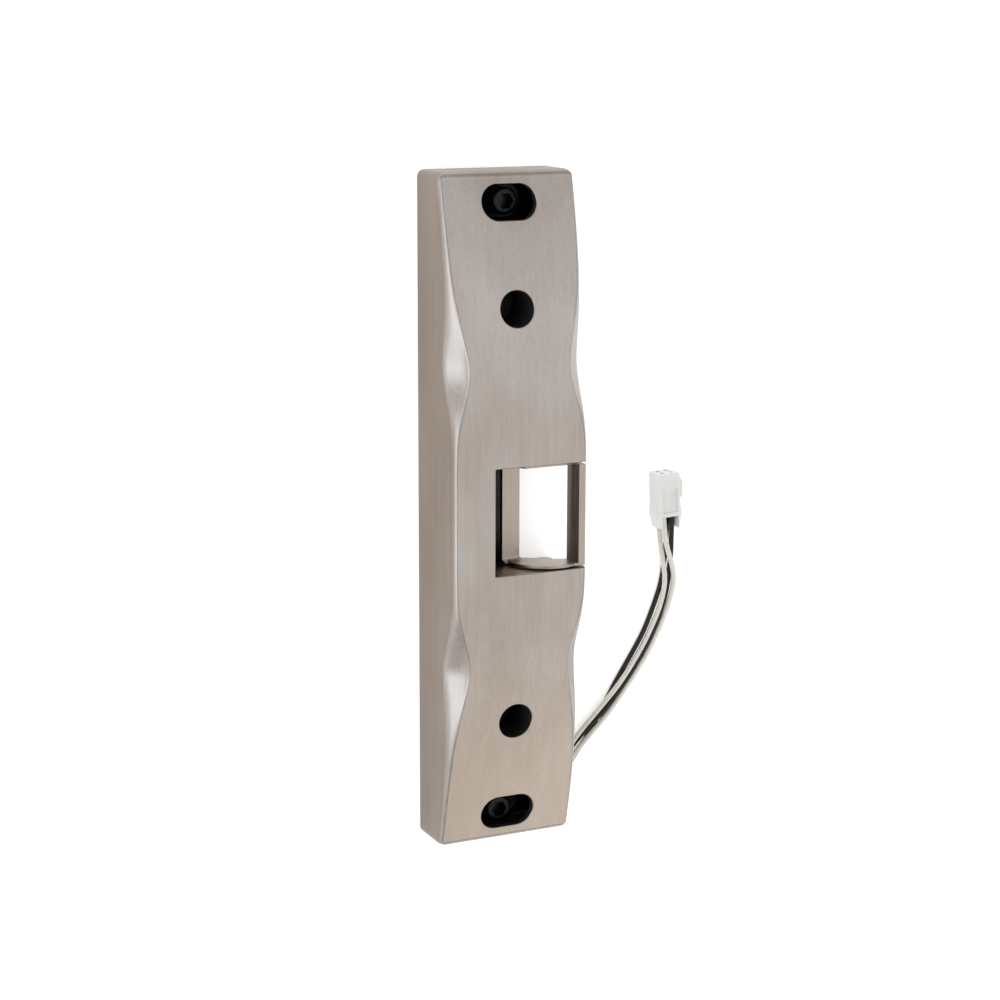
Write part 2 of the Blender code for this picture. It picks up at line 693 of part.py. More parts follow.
def build_solenoid(slide):
    """A C-frame solenoid. Its plunger is pulled in, towards -Y, when the coil is powered."""
    centre = (SOLENOID_X, SOLENOID_Z)
    front = SOLENOID_FRONT
    back = front - SOLENOID_LENGTH
    left, right = SOLENOID_X - 8.0, SOLENOID_X + 8.0
    floor_top = PLATE_FRONT + 1.5
    low = (SOLENOID_X - 14.4, back, PLATE_FRONT)
    frame = box("solenoid_frame", low, (right, front, floor_top), "zinc_steel")
    for word, start in (("front", front - 1.6), ("back", back)):
        plate_low = (left, start, PLATE_FRONT)
        plate_high = (right, start + 1.6, SOLENOID_Z + 7.2)
        join(frame, box(f"add_solenoid_{word}", plate_low, plate_high, helper=True))
    bore = rod("cut_solenoid_bore", PLUNGER_RADIUS + GAP, back - 5, front + 5, centre, "Y", helper=True)
    cut(frame, bore)
    screw_place = (SOLENOID_X - 11.6, front - 9.5)
    cut(frame, rod("cut_solenoid_screw", 1.6, 0, 8, screw_place, "Z", helper=True))

    flange_front = front - 1.6 - GAP
    flange_back = back + 1.6 + GAP
    bobbin = [
        (6.9, flange_front),
        (3.6, flange_front),
        (3.6, flange_back),
        (6.9, flange_back),
        (6.9, flange_back + 1),
        (4.3, flange_back + 1),
        (4.3, flange_front - 1),
        (6.9, flange_front - 1),
        (6.9, flange_front),
    ]
    turned("solenoid_bobbin", bobbin, centre, "Y", "bobbin_nylon")
    ends = (flange_back + 1 + GAP, flange_front - 1 - GAP)
    tube("solenoid_coil", COIL_RADIUS, 4.6, *ends, centre, "Y", "coil_tape")

    plunger_front = LEVER_PIVOT[1] - 4.6 + 7.2
    plunger_back = -52.0
    chamfer = 0.5
    profile = [
        (PLUNGER_RADIUS - chamfer, plunger_front),
        (PLUNGER_RADIUS, plunger_front - chamfer),
        (PLUNGER_RADIUS, plunger_back),
    ]
    plunger = turned("solenoid_plunger", profile, centre, "Y", "zinc_steel", slide)
    pin_place = (SOLENOID_X, LEVER_PIVOT[1])
    cut(plunger, rod("cut_plunger_pin", 1.1 + 0.2, 8, 30, pin_place, "Z", helper=True))
    top = LEVER_BOTTOM + LEVER_THICKNESS + 0.8
    rod("plunger_pin", 1.0, 9.5, top, pin_place, "Z", "spring_steel", slide)

    core = [(PLUNGER_RADIUS, plunger_back - PLUNGER_TRAVEL - GAP), (PLUNGER_RADIUS, back - 0.6)]
    turned("solenoid_core", core, centre, "Y", "zinc_steel")

    radius = 4.1
    turns = 2
    steps = 14
    pitch = 1.1
    start_y = front + 0.7
    points = []
    for i in range(turns * steps + 1):
        angle = 2 * math.pi * i / steps
        x = SOLENOID_X + radius * math.cos(angle)
        z = SOLENOID_Z + radius * math.sin(angle)
        points.append((x, start_y + pitch * i / steps, z))
    wire("plunger_return_spring", points, 0.5, "spring_steel")
    turned(
        "solenoid_screw",
        [(1.3, 0.3), (1.3, floor_top + GAP), (2.5, floor_top + GAP), (2.5, floor_top + 1.8)],
        screw_place,
        "Z",
        "zinc_steel",
    )


def hex_outline(across, centre):
    radius = across / 2 / math.cos(math.pi / 6)
    angles = [math.pi / 3 * i for i in range(6)]
    return [(centre[0] + radius * math.cos(a), centre[1] + radius * math.sin(a)) for a in angles]


def socket_screw(name, place, head, head_radius, shank_radius, bottom, across, material_name):
    """A socket head cap screw. head is the Z of the head's underside and top."""
    under, top = head
    profile = [
        (shank_radius, bottom),
        (shank_radius, under),
        (head_radius, under),
        (head_radius, top - 0.4),
        (head_radius - 0.4, top),
    ]
    screw = turned(name, profile, place, "Z", material_name)
    socket = hex_outline(across, place)
    cut(screw, prism(f"cut_{name}", socket, "Z", top - (top - under) * 0.6, top + 3, helper=True))


def build_fixings():
    for side, word in ((1, "upper"), (-1, "lower")):
        y = side * SLOT_Y
        outer = stadium(0, y, CUP_HALF_STRAIGHT, CUP_RADIUS)
        cup = prism(f"mounting_cup_{word}", outer, "Z", PLATE_FRONT, CUP_TOP, "zinc_steel")
        inner = stadium(0, y, CUP_HALF_STRAIGHT, CUP_BORE)
        cut(cup, prism(f"cut_cup_{word}", inner, "Z", CUP_FLOOR, 20, helper=True))
        cut(cup, rod(f"cut_cup_hole_{word}", CUP_SCREW_HOLE, 0, 20, MOUNT_PLACES[word], "Z", helper=True))
        head = (CUP_FLOOR + GAP, CUP_FLOOR + GAP + MOUNT_HEAD_HEIGHT)
        screw = (MOUNT_HEAD_RADIUS, MOUNT_SHANK_RADIUS, 0.3, 5.0)
        socket_screw(f"mounting_screw_{word}", MOUNT_PLACES[word], head, *screw, "black_oxide")
        frame_head = PLATE_FRONT + FRAME_FOOT_THICKNESS + GAP
        turned(
            f"frame_screw_{word}",
            [(1.5, 0.3), (1.5, frame_head), (2.9, frame_head), (2.9, frame_head + 1.2), (2.2, frame_head + 1.8)],
            (FRAME_SCREW_X, side * FRAME_SCREW_Y),
            "Z",
            "zinc_steel",
        )
    head = (BOSS_SHOULDER + GAP, BOSS_SHOULDER + GAP + 4.2)
    socket_screw("cover_screw_lower", (0, -HOLE_Y), head, 4.6, 2.2, 0.3, 4.0, "black_oxide")


def spline_at(points, t):
    """The place at t, from 0 to 1, on a Catmull-Rom curve through the points."""
    spans = len(points) - 1
    i = min(int(t * spans), spans - 1)
    u = t * spans - i
    a, b, c, d = (Vector(points[min(max(k, 0), spans)]) for k in range(i - 1, i + 3))
    cubic = (3 * b - a - 3 * c + d) * u**3
    return 0.5 * (2 * b + (c - a) * u + (2 * a - 5 * b + 4 * c - d) * u**2 + cubic)


def smooth_route(points, count):
    """count places, evenly spaced along the curve through the points."""
    steps = 20 * (len(points) - 1)
    fine = [spline_at(points, k / steps) for k in range(steps + 1)]
    lengths = [0.0]
    for one, two in zip(fine, fine[1:]):
        lengths.append(lengths[-1] + (two - one).length)
    even = []
    k = 0
    for i in range(count):
        target = lengths[-1] * i / (count - 1)
        while k < len(fine) - 2 and lengths[k + 1] < target:
            k += 1
        share = (target - lengths[k]) / (lengths[k + 1] - lengths[k])
        even.append(fine[k].lerp(fine[k + 1], share))
    return even


def wire_points(number):
    """A wire's centreline, from the grommet to its hole in the plug."""
    route = smooth_route(CABLE_ROUTE, WIRE_POINTS)
    last = len(route) - 1
    points = []
    for i, place in enumerate(route):
        along = (route[min(i + 1, last)] - route[max(i - 1, 0)]).normalized()
        right, height = spline_at(WIRE_LANES[number], i / last)
        points.append((place.x + along.y * right, place.y - along.x * right, max(height, WIRE_REST)))
    return points


def build_cable():
    for number, colour in WIRE_COLOURS.items():
        wire(f"wire_{number}", wire_points(number), WIRE_DIAMETER, colour)

    centre = (GROMMET_Y, GROMMET_Z)
    right = HALF_WIDTH + 0.8
    left = HALF_WIDTH - WALL - 0.9
    outline = [(GROMMET_Y - 3.8, 0.2), (GROMMET_Y + 3.8, 0.2), (GROMMET_Y + 3.8, GROMMET_Z)]
    for i in range(1, 12):
        angle = math.pi * i / 12
        outline.append((GROMMET_Y + 3.8 * math.cos(angle), GROMMET_Z + 3.8 * math.sin(angle)))
    outline.append((GROMMET_Y - 3.8, GROMMET_Z))
    grommet = prism("wire_grommet", outline, "X", left, right, "black_rubber")
    cut(grommet, rod("cut_grommet", GROMMET_BORE, left - 2, right + 2, centre, "X", helper=True))


def plug_place():
    """The plug's matrix: its wire end at the cable's end, its length in line with the cable."""
    end = Vector((*CABLE_ROUTE[-1], 0))
    along = (end - Vector((*CABLE_ROUTE[-2], 0))).normalized()
    turn = Vector((0, 1, 0)).rotation_difference(along).to_matrix().to_4x4()
    return Matrix.Translation((end.x, end.y, 0)) @ turn


def place_mesh(obj, matrix):
    """Moves a mesh whose points are in millimetres before the scale to metres."""
    move = matrix.copy()
    move.translation *= MM
    obj.data.transform(move)


def build_plug():
    place = plug_place()
    half = PLUG_WIDTH / 2
    wide = half + PLUG_COLLAR
    rear = PLUG_REAR
    front = rear + PLUG_LENGTH
    right = [(half - 0.8, rear), (wide, rear + 4.5), (wide, rear + 7.5), (half, rear + 8), (half, front - 0.5)]
    outline = right + [(half - 0.5, front), (-half + 0.5, front)] + [(-x, y) for x, y in reversed(right)]
    plug = prism("plug_housing", outline, "Z", 0.05, PLUG_HEIGHT, "white_nylon")
    place_mesh(plug, place)
    latch = [
        (half - 0.5, front - 0.6),
        (half + 1.6, front - 2.6),
        (half + 2.4, front - 3.9),
        (half + 2.2, front - 9.5),
        (half + 1.0, front - 9.9),
        (half + 0.9, front - 5.4),
        (half - 0.5, front - 4.0),
    ]
    arm = prism("add_plug_latch", latch, "Z", 2.4, PLUG_HEIGHT - 2.4, helper=True)
    place_mesh(arm, place)
    join(plug, arm)
    notch_end = rear + NOTCH_LENGTH
    low = (-NOTCH_HALF_WIDTH, rear - 1, NOTCH_FLOOR)
    notch = box("cut_plug_notch", low, (NOTCH_HALF_WIDTH, notch_end, 12), helper=True)
    panel = box("cut_plug_panel", (-2.9, rear + 5.9, PLUG_HEIGHT - 0.5), (2.9, rear + 14.3, 12), helper=True)
    for cutter in (notch, panel):
        place_mesh(cutter, place)
        cut(plug, cutter)
    for number in WIRE_COLOURS:
        x, z = WIRE_LANES[number][-1]
        side = CAVITY_SIZE / 2
        low = (x - side, notch_end - 1, z - side)
        cavity = box(f"cut_cavity_{number}", low, (x + side, front - PIN_ENTRY_WALL, z + side), helper=True)
        side = PIN_ENTRY / 2
        low = (x - side, front - 3, z - side)
        entry = box(f"cut_pin_entry_{number}", low, (x + side, front + 1, z + side), helper=True)
        for cutter in (cavity, entry):
            place_mesh(cutter, place)
            cut(plug, cutter)
        end = front - PIN_ENTRY_WALL - 0.5
        terminal = tube(f"plug_terminal_{number}", 0.95, 0.6, 0.4, end, (x, z), "Y", "tinned_contact")
        place_mesh(terminal, place)


def main():
    for obj in list(bpy.data.objects):
        bpy.data.objects.remove(obj)
    keeper_pivot = joint_empty("keeper_pivot_axis", PIVOT_X, 0, PIVOT_Z)
    lever_pivot = joint_empty("lever_pivot_axis", *LEVER_PIVOT, LEVER_BOTTOM)
    plunger_slide = joint_empty("plunger_axis", SOLENOID_X, SOLENOID_FRONT, SOLENOID_Z)
    build_housing()
    build_back_plate()
    build_keeper(keeper_pivot)
    build_keeper_frame()
    build_pivot_hardware(keeper_pivot)
    build_keeper_spring()
    build_lever(lever_pivot)
    build_lever_post()
    build_solenoid(plunger_slide)
    build_fixings()
    build_cable()
    build_plug()


main()
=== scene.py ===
import math

import bmesh
import bpy
from mathutils import Matrix, Vector


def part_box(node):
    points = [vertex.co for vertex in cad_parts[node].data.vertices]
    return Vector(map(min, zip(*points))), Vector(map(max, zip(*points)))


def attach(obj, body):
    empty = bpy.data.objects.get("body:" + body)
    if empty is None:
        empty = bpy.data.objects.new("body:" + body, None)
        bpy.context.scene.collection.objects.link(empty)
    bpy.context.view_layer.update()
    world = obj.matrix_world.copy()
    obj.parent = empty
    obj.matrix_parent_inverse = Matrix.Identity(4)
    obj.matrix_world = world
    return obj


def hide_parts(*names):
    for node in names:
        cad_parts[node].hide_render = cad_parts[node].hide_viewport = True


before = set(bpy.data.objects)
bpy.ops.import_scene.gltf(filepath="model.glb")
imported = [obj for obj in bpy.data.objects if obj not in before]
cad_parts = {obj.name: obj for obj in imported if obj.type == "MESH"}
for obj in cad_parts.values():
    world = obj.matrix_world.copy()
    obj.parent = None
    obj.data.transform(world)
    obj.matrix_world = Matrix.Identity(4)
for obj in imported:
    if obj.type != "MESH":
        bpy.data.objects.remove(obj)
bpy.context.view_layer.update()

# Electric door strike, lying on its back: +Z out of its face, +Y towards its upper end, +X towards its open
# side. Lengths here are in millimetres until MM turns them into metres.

MM = 0.001

# Camera: looks down on the face, from its left and a little from its upper end
CAMERA_TURN = math.radians(25.34)
CAMERA_TILT = math.radians(12.03)
CAMERA_ROLL = math.radians(0.15)
CAMERA_DISTANCE = 0.7855
CAMERA_AIM = Vector((0.00573, 0.00111, 0.0))
CAMERA_LENS = 82.53

# Cable and plug
WIRE_DIAMETER = 1.8
WIRE_REST = WIRE_DIAMETER / 2 + 0.05
WIRE_POINTS = 36
GROMMET_Y = -101.5
GROMMET_Z = 3.4
PLUG_LENGTH = 20.0
PLUG_WIDTH = 8.2
PLUG_HEIGHT = 8.0
PLUG_REAR = -4.6
PLUG_COLLAR = 0.3
NOTCH_LENGTH = 4.4
NOTCH_HALF_WIDTH = 3.1
NOTCH_FLOOR = 1.0
RECESS_HALF_WIDTH = 2.9
RECESS_DEPTH = 0.5
CAVITY_SIZE = 2.5
PIN_ENTRY = 1.5
PIN_ENTRY_WALL = 1.2

# The cable's route over the surface, from the grommet to inside the plug
CABLE_ROUTE = [
    (22.5, -101.5),
    (26.2, -101.5),
    (30.2, -96.4),
    (34.4, -90.6),
    (39.4, -84.9),
    (45.0, -78.9),
    (51.6, -71.6),
    (57.4, -64.3),
    (62.2, -57.2),
    (66.2, -49.6),
    (69.2, -42.0),
    (70.6, -34.2),
    (70.1, -26.2),
    (69.0, -18.0),
    (68.5, -8.8),
]

# Each wire's places at even steps of the route: how far to its right, and how high. Wire 2 passes under the
# others near the housing and again near the plug, and wire 3 crosses over wire 4 on its way into the plug.
WIRE_LANES = {
    1: [
        (-1.0, 4.4), (-2.1, 2.8), (-2.25, 2.6), (-2.0, 2.9), (-1.65, 2.95), (-1.15, 1.95),
        (-1.1, 1.9), (-1.1, 2.3), (-1.3, 3.0), (-1.7, 2.6), (-1.7, 2.3),
    ],
    2: [
        (1.0, 2.4), (2.25, 1.1), (2.3, 0.97), (0.2, 0.97), (-2.0, 0.97), (-2.85, 0.97),
        (-2.85, 0.97), (-2.8, 0.97), (-1.1, 0.97), (1.3, 1.2), (1.7, 2.3),
    ],
    3: [
        (1.0, 4.4), (0.9, 2.85), (1.4, 3.0), (2.0, 2.95), (2.3, 1.8), (2.75, 0.97),
        (2.75, 0.97), (2.75, 1.3), (1.7, 4.0), (-0.9, 5.8), (-1.7, 5.7),
    ],
    4: [
        (-1.0, 2.4), (-0.7, 1.15), (-0.5, 1.75), (0.0, 2.9), (0.35, 2.2), (0.8, 0.97),
        (0.8, 0.97), (0.8, 1.0), (1.0, 1.9), (1.9, 4.0), (1.7, 5.7),
    ],
}
WIRE_COLOURS = {1: "white_wire", 2: "black_wire", 3: "white_wire", 4: "black_wire"}

# Housing, read from its CAD node where that gives the size
HOUSING_HIGH = Vector(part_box("housing")[1]) / MM
HALF_LENGTH = HOUSING_HIGH.y
HALF_WIDTH = HOUSING_HIGH.x
DEPTH_MIDDLE = HOUSING_HIGH.z
DEPTH_DROP = 12.85
FLAT_HALF_LENGTH = 24.0
BOW_POWER = 1.73
WALL = 2.4
FRONT_WALL = 2.6
CORNER_RADIUS = 2.4
SCALLOP_CENTRE = 51.5
SCALLOP_OUTER_WIDTH = 19.6
SCALLOP_INNER_WIDTH = 16.3
SCALLOP_OUTER_POWER = 1.45
SCALLOP_INNER_POWER = 2.1
EDGE_INSET = 1.4
EDGE_DROP = 3.2
SCALLOP_INSET = 4.9
SCALLOP_DROP = 5.2
CAVITY_INSET = 5.8
CAVITY_DROP = 6.0
POCKET_HALF_LENGTH = 18.1
POCKET_LEFT = -9.5
SLOT_Y = 104.2
SLOT_LENGTH = 19.6
SLOT_WIDTH = 11.8
SLOT_BOTTOM = 8.0
HOLE_Y = 70.0
HOLE_RADIUS = 6.05
BOSS_RADIUS = 8.0
BOSS_SHOULDER = 8.3
BOSS_BOTTOM = 5.0
SCREW_HOLE_RADIUS = 2.6
SIDE_RELIEF_HALF_LENGTH = 20.9
SIDE_RELIEF_TOP = 14.4
WIRE_NOTCH = 4.1
RIM = 0.35
FACE_COLUMNS = 7

# Metal's scratches
GRAIN = [(0.3, (0.86, 0.86, 0.86)), (0.7, (1.08, 1.08, 1.08))]
SCRATCH_BUMP = 0.25
SCRATCH_DEPTH = 0.00004

# Degrees between faces past which an edge is sharp
SHARP_ANGLE = 32
BEVEL_ANGLE = 35

# Screws: width across the socket's flats, shank radius, head height
MOUNTING_SCREW = (5.0, 2.6, 6.35)
COVER_SCREW = (4.0, 2.2, 4.2)
KNURL_SIDES = 72
KNURL_DEPTH = 0.14

# Keeper, with the sizes of its CAD node
KEEPER_TOP = 17.1
KEEPER_BOTTOM = -17.6
KEEPER_END_WALL = 0.9
KEEPER_LEFT = -0.3
KEEPER_RIGHT = 24.5
KEEPER_BACK = 12.8
KEEPER_WEB_FRONT = 14.6
KEEPER_ARC_CENTRE = (15.2, 14.9)
KEEPER_ARC_RADIUS = 13.5
KEEPER_ARC_RIGHT = 20.5
KEEPER_FILLET = 1.6
KEEPER_CORNER = 1.3
UPPER_WALL_FRONT = 22.8
FLANGE_INNER = 21.4
LIP_INNER = 22.1
LIP_FRONT = 27.4
WINDOW_LEFT = 6.1
WINDOW_TOP = 19.8
WINDOW_CORNER = 1.8
WINDOW_END_GAP = 0.1
END_RELIEF = [
    (8.6, 5.0), (8.6, 12.6), (10.4, 14.2), (14.1, 16.5),
    (17.7, 18.5), (20.5, WINDOW_TOP), (40.0, WINDOW_TOP), (40.0, 5.0),
]
PIVOT = (14.5, 16.4)
STUB_RADIUS = 2.5
UPPER_STUB_END = 27.4
LOWER_STUB_END = 26.4

# Cups round the mounting screws
CUP_RADIUS = 7.3
CUP_BORE = 6.2
CUP_HALF_STRAIGHT = 3.4
CUP_FLOOR = 5.4
CUP_SCREW_HOLE = 3.2
MOUNT_PLACES = {"upper": (1.8, 104.0), "lower": (0.0, -105.5)}


# ---------------------------------------------------------------- camera

def add_camera():
    right = Vector((math.cos(CAMERA_TURN), 0, math.sin(CAMERA_TURN)))
    back = Vector((
        -math.sin(CAMERA_TURN) * math.cos(CAMERA_TILT),
        math.sin(CAMERA_TILT),
        math.cos(CAMERA_TURN) * math.cos(CAMERA_TILT),
    ))
    up = back.cross(right)
    data = bpy.data.cameras.new("camera")
    data.lens = CAMERA_LENS
    data.sensor_width = 36
    camera = bpy.data.objects.new("camera", data)
    bpy.context.scene.collection.objects.link(camera)
    turn = Matrix((right, up, back)).transposed().to_4x4()
    roll = Matrix.Rotation(CAMERA_ROLL, 4, "Z")
    camera.matrix_world = Matrix.Translation(CAMERA_AIM + back * CAMERA_DISTANCE) @ turn @ roll
    bpy.context.scene.camera = camera


# ---------------------------------------------------------------- materials

class Nodes:
    """A material under construction: a Principled shader and the nodes that feed it."""

    def __init__(self, name):
        self.material = bpy.data.materials.new(name)
        self.material.use_nodes = True
        self.tree = self.material.node_tree
        self.shader = self.tree.nodes["Principled BSDF"]

    def add(self, kind, inputs=None, **settings):
        node = self.tree.nodes.new(kind)
        for key, value in settings.items():
            setattr(node, key, value)
        for key, value in (inputs or {}).items():
            if isinstance(value, bpy.types.NodeSocket):
                self.tree.links.new(value, node.inputs[key])
            else:
                node.inputs[key].default_value = value
        return node

    def place(self, scale):
        """The piece's own coordinates, in metres, times a scale for each axis."""
        coordinates = self.add("ShaderNodeTexCoord").outputs["Object"]
        return self.add("ShaderNodeMapping", {"Vector": coordinates, "Scale": scale}).outputs["Vector"]

    def noise(self, scale, detail=4.0, roughness=0.55):
        inputs = {"Vector": self.place(scale), "Scale": 1.0, "Detail": detail, "Roughness": roughness}
        return self.add("ShaderNodeTexNoise", inputs).outputs["Fac"]

    def ramp(self, value, stops):
        """Colours between stops, each (place, colour)."""
        node = self.add("ShaderNodeValToRGB", {"Fac": value})
        elements = node.color_ramp.elements
        while len(elements) < len(stops):
            elements.new(0.5)
        for element, (place, colour) in zip(elements, stops):
            element.position = place
            element.color = (*colour, 1) if len(colour) == 3 else colour
        return node.outputs["Color"]

    def spread(self, value, low, high):
        """The value, from 0.25 to 0.75, stretched to run from low to high."""
        inputs = {"Value": value, "From Min": 0.25, "From Max": 0.75, "To Min": low, "To Max": high}
        return self.add("ShaderNodeMapRange", inputs).outputs["Result"]

    def blend(self, one, two, share, mode="MIX"):
        node = self.add("ShaderNodeMix", data_type="RGBA", blend_type=mode)
        for index, value in ((0, share), (6, one), (7, two)):
            if isinstance(value, bpy.types.NodeSocket):
                self.tree.links.new(value, node.inputs[index])
            else:
                node.inputs[index].default_value = value
        return node.outputs[2]

    def bump(self, height, strength, distance):
        inputs = {"Height": height, "Strength": strength, "Distance": distance}
        self.link(self.add("ShaderNodeBump", inputs).outputs["Normal"], "Normal")

    def link(self, output, socket):
        self.tree.links.new(output, self.shader.inputs[socket])

    def set(self, **values):
        for key, value in values.items():
            self.shader.inputs[key.replace("_", " ")].default_value = value
        return self


def brushed_metal(name, dark, light, roughness, painted_side_shade=(1, 1, 1)):
    """Satin metal with fine scratches along Y and faint clouds. Upright faces are multiplied by the side
    colour, a painted shade for side walls that get less light.
    """
    nodes = Nodes(name)
    scratches = nodes.noise((2600.0, 45.0, 2600.0), 3.0, 0.6)
    streaks = nodes.noise((420.0, 14.0, 420.0), 4.0, 0.6)
    cloud = nodes.noise((38.0, 24.0, 38.0), 3.0, 0.5)
    tone = nodes.ramp(cloud, [(0.32, dark), (0.68, light)])
    grain = nodes.ramp(scratches, GRAIN)
    streak = nodes.ramp(streaks, [(0.3, (0.955, 0.95, 0.945)), (0.7, (1.03, 1.03, 1.03))])
    # Painted shade: the more upright a face, the more the side colour darkens it.
    normal = nodes.add("ShaderNodeTexCoord").outputs["Normal"]
    up = nodes.add("ShaderNodeSeparateXYZ", {"Vector": normal}).outputs["Z"]
    level = nodes.add("ShaderNodeMath", {0: up}, operation="ABSOLUTE").outputs["Value"]
    side_shade = nodes.ramp(level, [(0.2, painted_side_shade), (0.66, (1, 1, 1))])
    colour = nodes.blend(nodes.blend(tone, grain, 1.0, "MULTIPLY"), streak, 1.0, "MULTIPLY")
    colour = nodes.blend(colour, side_shade, 1.0, "MULTIPLY")
    nodes.link(colour, "Base Color")
    nodes.link(nodes.spread(scratches, roughness - 0.06, roughness + 0.08), "Roughness")
    nodes.bump(scratches, SCRATCH_BUMP, SCRATCH_DEPTH)
    return nodes.set(Metallic=1.0).material


def depth_shaded_metal(name, dark, light, low, high):
    """Metal with painted shade: dark below one height and its full colour above another, both in metres, in
    place of the shade deep in a recess.
    """
    nodes = Nodes(name)
    # Painted shade: the colour darkens towards the bottom of the piece.
    place = nodes.add("ShaderNodeTexCoord").outputs["Object"]
    height = nodes.add("ShaderNodeSeparateXYZ", {"Vector": place}).outputs["Z"]
    inputs = {"Value": height, "From Min": low, "From Max": high}
    share = nodes.add("ShaderNodeMapRange", inputs).outputs["Result"]
    depth_shade = nodes.ramp(share, [(0.0, dark), (1.0, light)])
    scratches = nodes.noise([900.0, 60.0, 900.0], 3.0, 0.6)
    grain = nodes.ramp(scratches, GRAIN)
    nodes.link(nodes.blend(depth_shade, grain, 1.0, "MULTIPLY"), "Base Color")
    nodes.link(nodes.spread(scratches, 0.36, 0.5), "Roughness")
    nodes.bump(scratches, SCRATCH_BUMP, SCRATCH_DEPTH)
    return nodes.set(Metallic=1.0).material


def plain_metal(name, colour, roughness):
    """Plated or oxidised metal, with faint uneven tone and roughness."""
    nodes = Nodes(name)
    cloud = nodes.noise((300.0, 300.0, 300.0), 4.0, 0.6)
    dark = tuple(c * 0.84 for c in colour)
    nodes.link(nodes.ramp(cloud, [(0.3, dark), (0.65, colour)]), "Base Color")
    nodes.link(nodes.spread(cloud, roughness + 0.08, roughness - 0.05), "Roughness")
    nodes.bump(cloud, 0.15, 0.00005)
    return nodes.set(Metallic=1.0).material


def moulded(name, colour, roughness):
    """Plastic, rubber or insulation, with a fine uneven surface."""
    nodes = Nodes(name)
    cloud = nodes.noise((500.0, 500.0, 500.0), 3.0, 0.5)
    dark = tuple(c * 0.9 for c in colour)
    nodes.link(nodes.ramp(cloud, [(0.3, dark), (0.7, colour)]), "Base Color")
    nodes.link(nodes.spread(cloud, roughness - 0.04, roughness + 0.06), "Roughness")
    nodes.bump(cloud, 0.1, 0.00003)
    return nodes.material


def nylon():
    """Milky unfilled nylon: light goes a little way into it."""
    nodes = Nodes("white_nylon")
    cloud = nodes.noise((220.0, 220.0, 220.0), 3.0, 0.5)
    tone = nodes.ramp(cloud, [(0.3, (0.80, 0.82, 0.81)), (0.7, (0.88, 0.89, 0.88))])
    nodes.link(tone, "Base Color")
    nodes.link(nodes.spread(cloud, 0.30, 0.42), "Roughness")
    nodes.bump(cloud, 0.06, 0.00004)
    nodes.set(Subsurface_Weight=0.35, Subsurface_Radius=(1.0, 1.0, 0.95), Subsurface_Scale=0.0015)
    return nodes.material


def coil_tape():
    """Amber insulating tape, wound round the coil."""
    nodes = Nodes("coil_tape")
    bands = nodes.noise((60.0, 1500.0, 60.0), 2.0, 0.5)
    tone = nodes.ramp(bands, [(0.35, (0.22, 0.10, 0.02)), (0.65, (0.42, 0.22, 0.05))])
    nodes.link(tone, "Base Color")
    nodes.bump(bands, 0.3, 0.00008)
    return nodes.set(Roughness=0.35).material


def make_materials():
    steel_dark, steel_light = (0.385, 0.345, 0.315), (0.445, 0.415, 0.395)
    return {
        # The housing's side colour is painted shade for its dimmer side walls.
        "brushed_steel": brushed_metal("brushed_steel", steel_dark, steel_light, 0.36, (0.62, 0.55, 0.49)),
        "keeper_steel": brushed_metal("keeper_steel", (0.38, 0.325, 0.28), (0.46, 0.405, 0.36), 0.38),
        # The keeper frame's steel carries painted shade, near black deep in the pocket.
        "frame_steel": depth_shaded_metal("frame_steel", (0.012, 0.010, 0.009), (0.42, 0.33, 0.24), 0.014, 0.022),
        # Near black on the housing's inner walls, bosses and hole walls: painted shade for its hollow.
        "painted_shade_inside": moulded("painted_shade_inside", (0.012, 0.011, 0.010), 0.6),
        "zinc_steel": plain_metal("zinc_steel", (0.50, 0.50, 0.47), 0.30),
        "black_oxide": plain_metal("black_oxide", (0.022, 0.023, 0.024), 0.30),
        "bronze": plain_metal("bronze", (0.50, 0.34, 0.17), 0.42),
        "spring_steel": plain_metal("spring_steel", (0.42, 0.41, 0.40), 0.28),
        "coil_tape": coil_tape(),
        "bobbin_nylon": moulded("bobbin_nylon", (0.05, 0.05, 0.05), 0.5),
        "black_rubber": moulded("black_rubber", (0.02, 0.02, 0.02), 0.7),
        "black_wire": moulded("black_wire", (0.006, 0.006, 0.006), 0.55),
        "white_wire": moulded("white_wire", (0.88, 0.86, 0.79), 0.42),
        "white_nylon": nylon(),
        "tinned_contact": plain_metal("tinned_contact", (0.68, 0.65, 0.58), 0.25),
    }


# ---------------------------------------------------------------- mesh helpers

def add_object(name, bm, material, scale=MM):
    """A mesh object from bm, whose points are in millimetres in the strike's frame."""
    bmesh.ops.recalc_face_normals(bm, faces=bm.faces)
    mesh = bpy.data.meshes.new(name)
    bm.transform(Matrix.Scale(scale, 4))
    bm.to_mesh(mesh)
    bm.free()
    obj = bpy.data.objects.new(name, mesh)
    bpy.context.scene.collection.objects.link(obj)
    mesh.materials.append(material)
    finish_shading(mesh)
    return obj


def finish_shading(mesh):
    mesh.shade_smooth()
    mesh.set_sharp_from_angle(angle=math.radians(SHARP_ANGLE))


def boolean(obj, other, operation="DIFFERENCE"):
    """Cuts other out of obj, or joins it on, and removes other. Each keeps its own material's faces."""
    modifier = obj.modifiers.new("Boolean", "BOOLEAN")
    modifier.operation = operation
    modifier.solver = "EXACT"
    modifier.material_mode = "TRANSFER"
    modifier.object = other
    graph = bpy.context.evaluated_depsgraph_get()
    mesh = bpy.data.meshes.new_from_object(obj.evaluated_get(graph))
    obj.modifiers.clear()
    old = obj.data
    obj.data = mesh
    bpy.data.meshes.remove(old)
    bpy.data.objects.remove(other)
    finish_shading(mesh)


